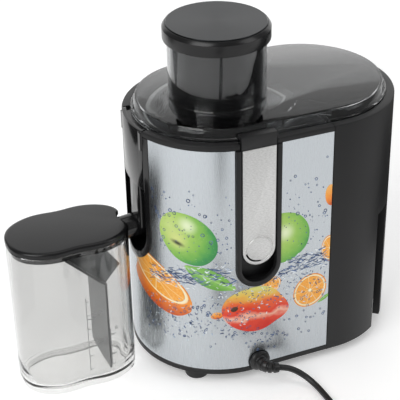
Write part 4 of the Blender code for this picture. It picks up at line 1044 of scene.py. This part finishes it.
cut(bowl, block(-36, seam_x + 14, -42, 42, 183.0, 210), bar((-96.5, 0, 112.4), (-130, 0, 109.2), 7.4),
    rod(5.6, 112.5, 152.5, -96.4, 0, 32),
    block(-98, -84, -6, 6, bowl_floor + 0.1, 152.4),
    rod(11.6, 130, 170, AXIS_X, 0, 56), *hook_gates())
settle(bowl, gloss, "bowl", "juice_bowl", slot="gloss_black")

# ------------------------------------------------------------------ filter basket
# A cone of stainless sheet, etched through with small holes, crimped in a pale
# nylon ring at its top and moulded into the black hub that the motor's dog turns.
rim_r, rim_z, foot_r, foot_z = 53.6, 192.0, 40.4, 163.0
COLUMNS, ROWS = 150, 16
SIEVE = bpy.data.node_groups.new("etched_holes", "GeometryNodeTree")
named_inputs(SIEVE, [("Geometry", "NodeSocketGeometry"), ("Open", "NodeSocketFloat"),
                     ("Thickness", "NodeSocketFloat"), ("Finish", "NodeSocketMaterial")])
ask = add(SIEVE, "NodeGroupInput").outputs
pane = add(SIEVE, "GeometryNodeExtrudeMesh",
           {"Mesh": ask["Geometry"], "Offset Scale": 0.0, "Individual": True}, mode="FACES")
shrunk = add(SIEVE, "GeometryNodeScaleElements",
             {"Geometry": pane.outputs["Mesh"], "Selection": pane.outputs["Top"], "Scale": ask["Open"]})
holed = add(SIEVE, "GeometryNodeDeleteGeometry",
            {"Geometry": shrunk.outputs[0], "Selection": pane.outputs["Top"]},
            domain="FACE", mode="ONLY_FACE")
welded = add(SIEVE, "GeometryNodeMergeByDistance", {"Geometry": holed.outputs[0], "Distance": 0.01})
thick = add(SIEVE, "GeometryNodeExtrudeMesh",
            {"Mesh": welded.outputs[0], "Offset Scale": ask["Thickness"], "Individual": False}, mode="FACES")
back = add(SIEVE, "GeometryNodeFlipFaces", {"Mesh": welded.outputs[0]})
both = add(SIEVE, "GeometryNodeJoinGeometry")
SIEVE.links.new(thick.outputs["Mesh"], both.inputs[0])
SIEVE.links.new(back.outputs[0], both.inputs[0])
shut = add(SIEVE, "GeometryNodeMergeByDistance", {"Geometry": both.outputs[0], "Distance": 0.01})
finished(SIEVE, shut.outputs[0], ask["Finish"])
sieve_steel, tree, shader = substance("etched_stainless_sheet", "#c6c8ca", 0.30, 1.0)
bumped(tree, shader, noise(tree, places(tree), 1500.0), 0.15)
bm = bmesh.new()
grid = []
for row in range(ROWS + 1):
    t = row / ROWS
    r, z = foot_r + (rim_r - 1.2 - foot_r) * t, foot_z + (rim_z - 0.4 - foot_z) * t
    grid.append([bm.verts.new((AXIS_X + r * math.cos(math.tau * k / COLUMNS),
                               r * math.sin(math.tau * k / COLUMNS), z)) for k in range(COLUMNS)])
for low, high in zip(grid, grid[1:]):
    for k in range(COLUMNS):
        bm.faces.new((low[k], low[(k + 1) % COLUMNS], high[(k + 1) % COLUMNS], high[k]))
sieve = mesh_object("basket_sieve", bm)
if Vector(sieve.data.polygons[0].normal).dot(sieve.data.polygons[0].center - Vector((AXIS_X, 0, 177))) > 0:
    sieve.data.flip_normals()
grown(sieve, SIEVE, open=0.62, thickness=0.6, finish=sieve_steel)
outward(sieve)
settle(sieve, sieve_steel, "basket", "basket_mesh", slot="plain_steel")
ring_top = turned([(51.4, 191.9), (53.4, 191.9), (54.4, 192.7), (54.2, 193.6), (53.4, 194.2), (51.8, 194.2),
                   (51.4, 193.8)], AXIS_X, 0, 96, "basket_ring", closed=True)
pale_ring, tree, shader = substance("pale_grey_nylon", "#c4c5c3", 0.38)
bumped(tree, shader, noise(tree, places(tree), 1800.0), 0.2)
settle(ring_top, pale_ring, "basket", "basket_rim", slot="gloss_black")
refinish("basket_hub", gloss)

# ------------------------------------------------------------------ grater disc
# Stamped stainless steel; its teeth are pushed up in rings and ground sharp.
GRATER = bpy.data.node_groups.new("grater_teeth", "GeometryNodeTree")
named_inputs(GRATER, [("Geometry", "NodeSocketGeometry"), ("Radius", "NodeSocketFloat"),
                      ("Count", "NodeSocketInt"), ("Tooth", "NodeSocketFloat"),
                      ("Height", "NodeSocketFloat"), ("Finish", "NodeSocketMaterial")])
ask = add(GRATER, "NodeGroupInput").outputs
circle = add(GRATER, "GeometryNodeMeshCircle", {"Vertices": ask["Count"], "Radius": ask["Radius"]})
tooth = add(GRATER, "GeometryNodeMeshCone", {"Vertices": 4, "Radius Top": 0.12, "Radius Bottom": ask["Tooth"],
                                             "Depth": ask["Height"]})
set_on = add(GRATER, "GeometryNodeInstanceOnPoints",
             {"Points": circle.outputs[0], "Instance": tooth.outputs["Mesh"]})
both = add(GRATER, "GeometryNodeJoinGeometry")
GRATER.links.new(set_on.outputs[0], both.inputs[0])
finished(GRATER, both.outputs[0], ask["Finish"])
disc = turned([(0, 162.4), (36.8, 162.4), (37.2, 162.7), (37.2, 163.3), (36.8, 163.6), (0, 163.6)],
              AXIS_X, 0, 72, "grater_plate")
for r in range(8, 36, 3):
    teeth = grown(link_new("teeth", bpy.data.meshes.new("teeth")), GRATER, radius=float(r),
                  count=int(r * 1.9), tooth=0.75, height=1.3, finish=sieve_steel)
    teeth.data.transform(Matrix.Translation((AXIS_X, 0, 164.2)) @ Matrix.Rotation(r * 0.7, 4, "Z"))
    bm = bmesh.new()
    bm.from_mesh(disc.data)
    bm.from_mesh(teeth.data)
    bm.to_mesh(disc.data)
    bm.free()
    bpy.data.objects.remove(teeth)
settle(disc, sieve_steel, "basket", "grater_disc", slot="plain_steel")

# ------------------------------------------------------------------ lid with its chute
# Smoke-tinted clear plastic, injected in one piece and polished: a shallow hood over
# the basket and the bin, stiffening ribs under it, and the chute for the fruit.


def stadium(r):
    return arc(-HALF, 0, r, 90, 270, 56) + arc(HALF, 0, r, -90, 90, 56)


smoky, tree, shader = substance("smoke_tinted_acrylic", "#c2c4c5", 0.03, Transmission_Weight=1.0, IOR=1.49)
swirl = noise(tree, places(tree), 40.0, 3.0)
sheen(tree, shader, swirl, 0.02, 0.06)
bumped(tree, shader, swirl, 0.04, 0.0006)
chute_r, chute_bore, chute_top = 36.6, 34.6, 254.0
hood = loft([(stadium(63.0), 199.6), (stadium(flange_r), 200.0), (stadium(flange_r), 202.6),
             (stadium(63.0), 203.0), (stadium(62.2), 203.4), (stadium(60.6), 208.6), (stadium(60.1), 209.6),
             (stadium(59.2), 210.0)], "lid_moulding")
cut(hood, loft([(stadium(61.4), 196.6), (stadium(60.2), 202.5), (stadium(58.9), 207.0),
                (stadium(58.2), 207.9)]))
ribs = []
for side in (-1, 1):
    bends = [(-6.5, 54.2), (13.0, 36.8), (22.4, 39.2), (33.0, 50.6)]
    for (xa, ya), (xb, yb) in zip(bends, bends[1:]):
        way = Vector((xb - xa, yb - ya)).normalized()
        off = Vector((-way.y, way.x)) * 0.9
        ribs.append(prism([(xa - way.x + off.x, side * (ya - way.y + off.y)),
                           (xb + way.x + off.x, side * (yb + way.y + off.y)),
                           (xb + way.x - off.x, side * (yb + way.y - off.y)),
                           (xa - way.x - off.x, side * (ya - way.y - off.y))], 200.2, 208.6))
chute = turned([(0, 168.0), (chute_r, 168.0), (chute_r, 209.6), (chute_r + 0.5, 210.2), (chute_r, 210.9),
                (chute_r, 219.6), (chute_r + 0.35, 219.9), (chute_r + 0.35, 220.6), (chute_r, 220.9),
                (chute_r, 253.4), (chute_r - 0.5, chute_top), (0, chute_top)], AXIS_X, 0, 128)
join(hood, chute, *ribs)
cut(hood, rod(chute_bore, 160, 260, AXIS_X, 0, 128), *hook_gates())
settle(hood, smoky, "lid", "lid", slot="smoky_plastic")
hood.visible_shadow = False     # light comes through it, as it does through the real one

# ------------------------------------------------------------------ pusher
# A hollow black ABS plunger with a cap that grips it; a spun aluminium disc is
# pressed into the top of the cap.
plunger = turned([(0, 174.0), (31.6, 174.0), (33.4, 174.6), (34.1, 176.0), (34.1, 253.6), (31.6, 253.6),
                  (31.6, 176.4), (0, 176.4)], AXIS_X, 0, 128, "pusher_tube")
settle(plunger, gloss, "pusher", "pusher", slot="gloss_black")
cap_z0 = 254.3
cap = turned([(0, cap_z0 + 2.4), (29.0, cap_z0 + 2.4), (29.0, 248.0), (31.2, 248.0), (31.2, cap_z0),
              (39.1, cap_z0), (39.6, cap_z0 + 0.3), (39.8, cap_z0 + 0.9), (39.8, 263.2), (39.65, 263.55),
              (38.1, 265.6), (37.8, 265.85), (37.55, 265.9), (37.5, 265.0), (0, 265.0)], AXIS_X, 0, 128,
             "pusher_cap_shell")
satin, tree, shader = substance("satin_black_abs", "#111112", 0.24, Specular_IOR_Level=0.34)
sheen(tree, shader, noise(tree, places(tree), 30.0, 3.0), 0.20, 0.30)
bumped(tree, shader, noise(tree, places(tree), 1600.0), 0.05)
settle(cap, satin, "pusher", "pusher_cap", slot="charcoal_plastic", sharp=20)
badge = turned([(0, 265.3), (37.2, 265.3), (37.2, 266.3), (36.8, 266.7), (0, 266.7)], AXIS_X, 0, 128,
               "pusher_cap_plate")
spun, tree, shader = substance("spun_dark_aluminium", "#28292a", 0.17, 1.0, Anisotropic=1.0,
                               Anisotropic_Rotation=0.25)
centred = less(tree, places(tree), MIDDLE + Vector((AXIS_X, 0, 266.7)) * MM)
out = add(tree, "ShaderNodeCombineXYZ", {"X": length_of(tree, centred)})
rings = noise(tree, out.outputs[0], 2200.0)
parts = add(tree, "ShaderNodeSeparateXYZ", {0: centred})
swap = reckoned(tree, "MULTIPLY", parts.outputs["Y"], -1.0)
tangent = add(tree, "ShaderNodeCombineXYZ", {"X": swap, "Y": parts.outputs["X"]})
tree.links.new(tangent.outputs[0], shader.inputs["Tangent"])
tree.links.new(ramp(tree, rings, [(0.35, "#1d1e1f"), (0.65, "#333537")]), shader.inputs["Base Color"])
bumped(tree, shader, rings, 0.5, 0.0001)
settle(badge, spun, "pusher", "pusher_cap_disc", slot="spun_metal")

# ------------------------------------------------------------------ pulp bin
# Black ABS bin that makes up the other round end. Its low end is set back under
# the bulge, with a curved bar left in front as the handle.


def bin_plan(r, x_start):
    return [(x_start, r)] + arc(HALF, 0, r, 90, -90, ARC) + [(x_start, -r)]


bin_x = seam_x + 0.2
recess_x, recess_z, grip_angle, grip_t = 75.0, 108.3, 40.0, 5.7
hopper = loft([(bin_plan(body_r - 0.8, bin_x), 0), (bin_plan(body_r, bin_x), 0.8),
               (bin_plan(body_r, bin_x), rim_z1 - 1.3), (bin_plan(body_r - 0.4, bin_x), rim_z1 - 0.4),
               (bin_plan(body_r - 1.3, bin_x), rim_z1)], "pulp_bin_moulding")
r_in = body_r - WALL
low = shaped("INTERSECT", prism(bin_plan(r_in, bin_x + WALL), 5.2, recess_z + 3),
             [block(0, recess_x - WALL, -90, 90, -5, 200)])
high = loft([(bin_plan(r_in, bin_x + WALL), recess_z + WALL), (bin_plan(r_in, bin_x + WALL), 191.0),
             (bin_plan(61.6, bin_x + WALL), 196.0), (bin_plan(61.6, bin_x + WALL), seat_z + 1)])
grip = prism([(recess_x, -90), *arc(HALF, 0, 96, -grip_angle, -grip_angle, 1)[:1],
              *arc(HALF, 0, body_r - grip_t, -grip_angle, grip_angle, 48),
              *arc(HALF, 0, 96, grip_angle, grip_angle, 1)[:1], (recess_x, 90)], -5, recess_z)
cut(hopper, low, high, prism(bin_plan(seat_r, bin_x - 9), seat_z, rim_z1 + 4), grip,
    block(seam_x - 5, seam_x + 19, -47, 47, -4, 2.9), block(bin_x - 5, bin_x + 6, -45, 45, 178, seat_z + 5))
settle(hopper, charcoal, "pulp_bin", "pulp_bin", slot="charcoal_plastic")

# ------------------------------------------------------------------ juice jug
# Clear SAN plastic, injected in one piece: a waisted oval with straight walls, a
# raised floor, a notch in its rim for the spout, and printed levels.
jug_x, jug_y, jug_a, jug_b = -157.0, -1.2, 46.0, 30.9
jug_z0, jug_z1, jug_floor = -7.5, 117.4, 0.0


def jug_plan(t, n=144, power=2.5):
    """Outline of the jug, t millimetres inside its outer wall."""
    a, b, waist, dent = jug_a - t, jug_b - t, 2.4, 5.0
    points = []
    for i in range(n):
        angle = math.tau * i / n
        x = a * math.copysign(abs(math.cos(angle)) ** (2 / power), math.cos(angle))
        y = b * math.copysign(abs(math.sin(angle)) ** (2 / power), math.sin(angle))
        y -= math.copysign(waist, y) * math.exp(-(x / 13) ** 2) * min(1, abs(y) / b * 2)
        if x > 0:
            x -= dent * math.exp(-(y / 11) ** 2) * (x / a) ** 4
        points.append((jug_x + x, jug_y + y))
    return points


clear, tree, shader = substance("clear_san_plastic", "#e4e4e3", 0.03, Transmission_Weight=1.0, IOR=1.45)
swirl = noise(tree, places(tree), 45.0, 3.0)
sheen(tree, shader, swirl, 0.02, 0.07)
bumped(tree, shader, swirl, 0.04, 0.0006)
beaker = loft([(jug_plan(3.0), jug_z0), (jug_plan(1.8), jug_z0 + 0.5), (jug_plan(0.9), jug_z0 + 1.6),
               (jug_plan(0.4), jug_z0 + 3.2), (jug_plan(0.0), jug_z0 + 6), (jug_plan(0.0), jug_z1 - 0.5),
               (jug_plan(0.4), jug_z1)], "jug_beaker")
cut(beaker, loft([(jug_plan(5.0), jug_floor), (jug_plan(3.4), jug_floor + 0.8),
                  (jug_plan(2.6), jug_floor + 2.5), (jug_plan(2.0), 20.0), (jug_plan(2.0), jug_z1 + 3)]),
    loft([(jug_plan(4.6), jug_z0 - 3), (jug_plan(4.6), jug_floor - 2.4)]),
    u_along_x(11.2, 98.6, 150, -122, -100))
settle(beaker, clear, "jug", "jug", slot="clear_plastic")
beaker.visible_shadow = False

# ------------------------------------------------------------------ jug's level marks
# Two scales in grey ink on the near wall: a line each, short strokes, and numbers
# at two of the levels.
MARKS = bpy.data.node_groups.new("level_strokes", "GeometryNodeTree")
named_inputs(MARKS, [("Geometry", "NodeSocketGeometry"), ("Count", "NodeSocketInt"),
                     ("Spacing", "NodeSocketFloat"), ("Stroke", "NodeSocketVector"),
                     ("Finish", "NodeSocketMaterial")])
ask = add(MARKS, "NodeGroupInput").outputs
gap = add(MARKS, "ShaderNodeCombineXYZ", {"Z": ask["Spacing"]})
ladder = add(MARKS, "GeometryNodeMeshLine", {"Count": ask["Count"], "Offset": gap.outputs[0]})
stroke = add(MARKS, "GeometryNodeMeshCube", {"Size": ask["Stroke"]})
set_on = add(MARKS, "GeometryNodeInstanceOnPoints",
             {"Points": ladder.outputs[0], "Instance": stroke.outputs["Mesh"]})
finished(MARKS, set_on.outputs[0], ask["Finish"])
level_ink, tree, shader = substance("grey_level_ink", "#8c8c8c", 0.5)
tree.links.new(ramp(tree, noise(tree, places(tree), 900.0), [(0.3, "#808080"), (0.7, "#989898")]),
               shader.inputs["Base Color"])


def near_wall(x):
    """How far to the front the jug's near wall is at x."""
    front = sorted((abs(px - x), py) for px, py in jug_plan(0.0) if py < jug_y - 5)
    return front[0][1]


for label, x, foot, count, step, tall, volumes in (
        ("wide", -155.0, 10.5, 6, 12.5, 66.0, ((60.5, "250"), (35.5, "150"))),
        ("narrow", -137.6, 10.5, 4, 9.2, 34.0, ((24.3, "5"), (42.7, "8")))):
    y = near_wall(x) - 0.03
    marks = grown(link_new("level_marks_" + label, bpy.data.meshes.new("marks")), MARKS, count=count,
                  spacing=step, stroke=(2.6, 0.06, 0.5), finish=level_ink)
    marks.data.transform(Matrix.Translation((x + 1.3, y, foot)))
    bm = bmesh.new()
    bm.from_mesh(marks.data)
    parts = [block(x - 0.25, x + 0.25, y - 0.03, y + 0.03, foot - 1, foot + tall)]
    for height, number in volumes:
        text = bpy.data.curves.new("number", "FONT")
        text.body = number
        text.size, text.extrude, text.resolution_u = 5.2, 0.03, 2
        text.align_x, text.align_y = "LEFT", "CENTER"
        drawn = link_new("number", text)
        digits = bpy.data.meshes.new_from_object(drawn)
        bpy.data.objects.remove(drawn)
        digits.transform(Matrix.Translation((x + 3.6, near_wall(x + 7) - 0.03, height))
                         @ Matrix.Rotation(math.radians(90), 4, "X"))
        bm.from_mesh(digits)
        parts.append(block(x, x + 5.2 if x < -150 else x + 4, y - 0.03, y + 0.03, height - 0.3, height + 0.3))
        parts[-1].data.transform(Matrix.Translation((0, 0, -3.6)))
    for part in parts:
        bm.from_mesh(part.data)
        bpy.data.objects.remove(part)
    bmesh.ops.remove_doubles(bm, verts=bm.verts, dist=0.0005)
    bm.to_mesh(marks.data)
    bm.free()
    settle(marks, level_ink, "jug", slot="clear_plastic")

# ------------------------------------------------------------------ jug's lid and froth separator
# Satin black ABS lid pressed into the jug's mouth, with a notch for the spout, and a
# folded, smoke-tinted plate that hangs from it and holds the froth back.
cover = loft([(jug_plan(0.2), jug_z1 + 0.3), (jug_plan(-0.2), jug_z1 + 0.7), (jug_plan(-0.2), 120.4),
              (jug_plan(0.1), 121.2), (jug_plan(0.8), 121.8), (jug_plan(1.6), 122.15),
              (jug_plan(2.6), 122.3)], "jug_cover")
rim_in = loft([(jug_plan(2.6), 112.4), (jug_plan(2.6), jug_z1 + 1.2)])
cut(rim_in, loft([(jug_plan(4.4), 110), (jug_plan(4.4), jug_z1 + 0.9)]))
join(cover, rim_in)
cut(cover, prism(arc(notch_x, 0, notch_r, 0, 360, 72)[:-1], 90, 140),
    block(notch_x - 12, -90, -11.6, 11.6, 90, jug_z1 + 0.25))
settle(cover, satin, "jug_lid", "jug_lid", slot="charcoal_plastic")
sheet_t = 1.6


def folded(profile, y0, y1):
    """An outline in X and Z, drawn out along Y."""
    obj = prism(profile, y0, y1)
    obj.data.transform(Matrix(((1, 0, 0, 0), (0, 0, 1, 0), (0, 1, 0, 0), (0, 0, 0, 1))))
    return outward(obj)


separator = folded([(-136.5, 2.6), (-136.5, 82), (-141.0, 86), (-168.0, 112.1), (-168.0 - sheet_t, 112.1),
                    (-143.0, 85.2), (-136.5 - sheet_t, 81), (-136.5 - sheet_t, 2.6)], -24.4, 22.0)
cheek = [(-137.0, 82), (-125.5, 96), (-136.0, 112.1), (-167.0, 112.1), (-142.0, 86)]
join(separator, folded(cheek, -22.6, -21.2), folded(cheek, 18.8, 20.2))
separator.name = "froth_plate"
frosted, tree, shader = substance("frosted_smoke_plastic", "#77797a", 0.28, Transmission_Weight=0.85)
bumped(tree, shader, noise(tree, places(tree), 1500.0), 0.1)
settle(separator, frosted, "jug_lid", "froth_separator", slot="smoky_plastic")
separator.visible_shadow = False
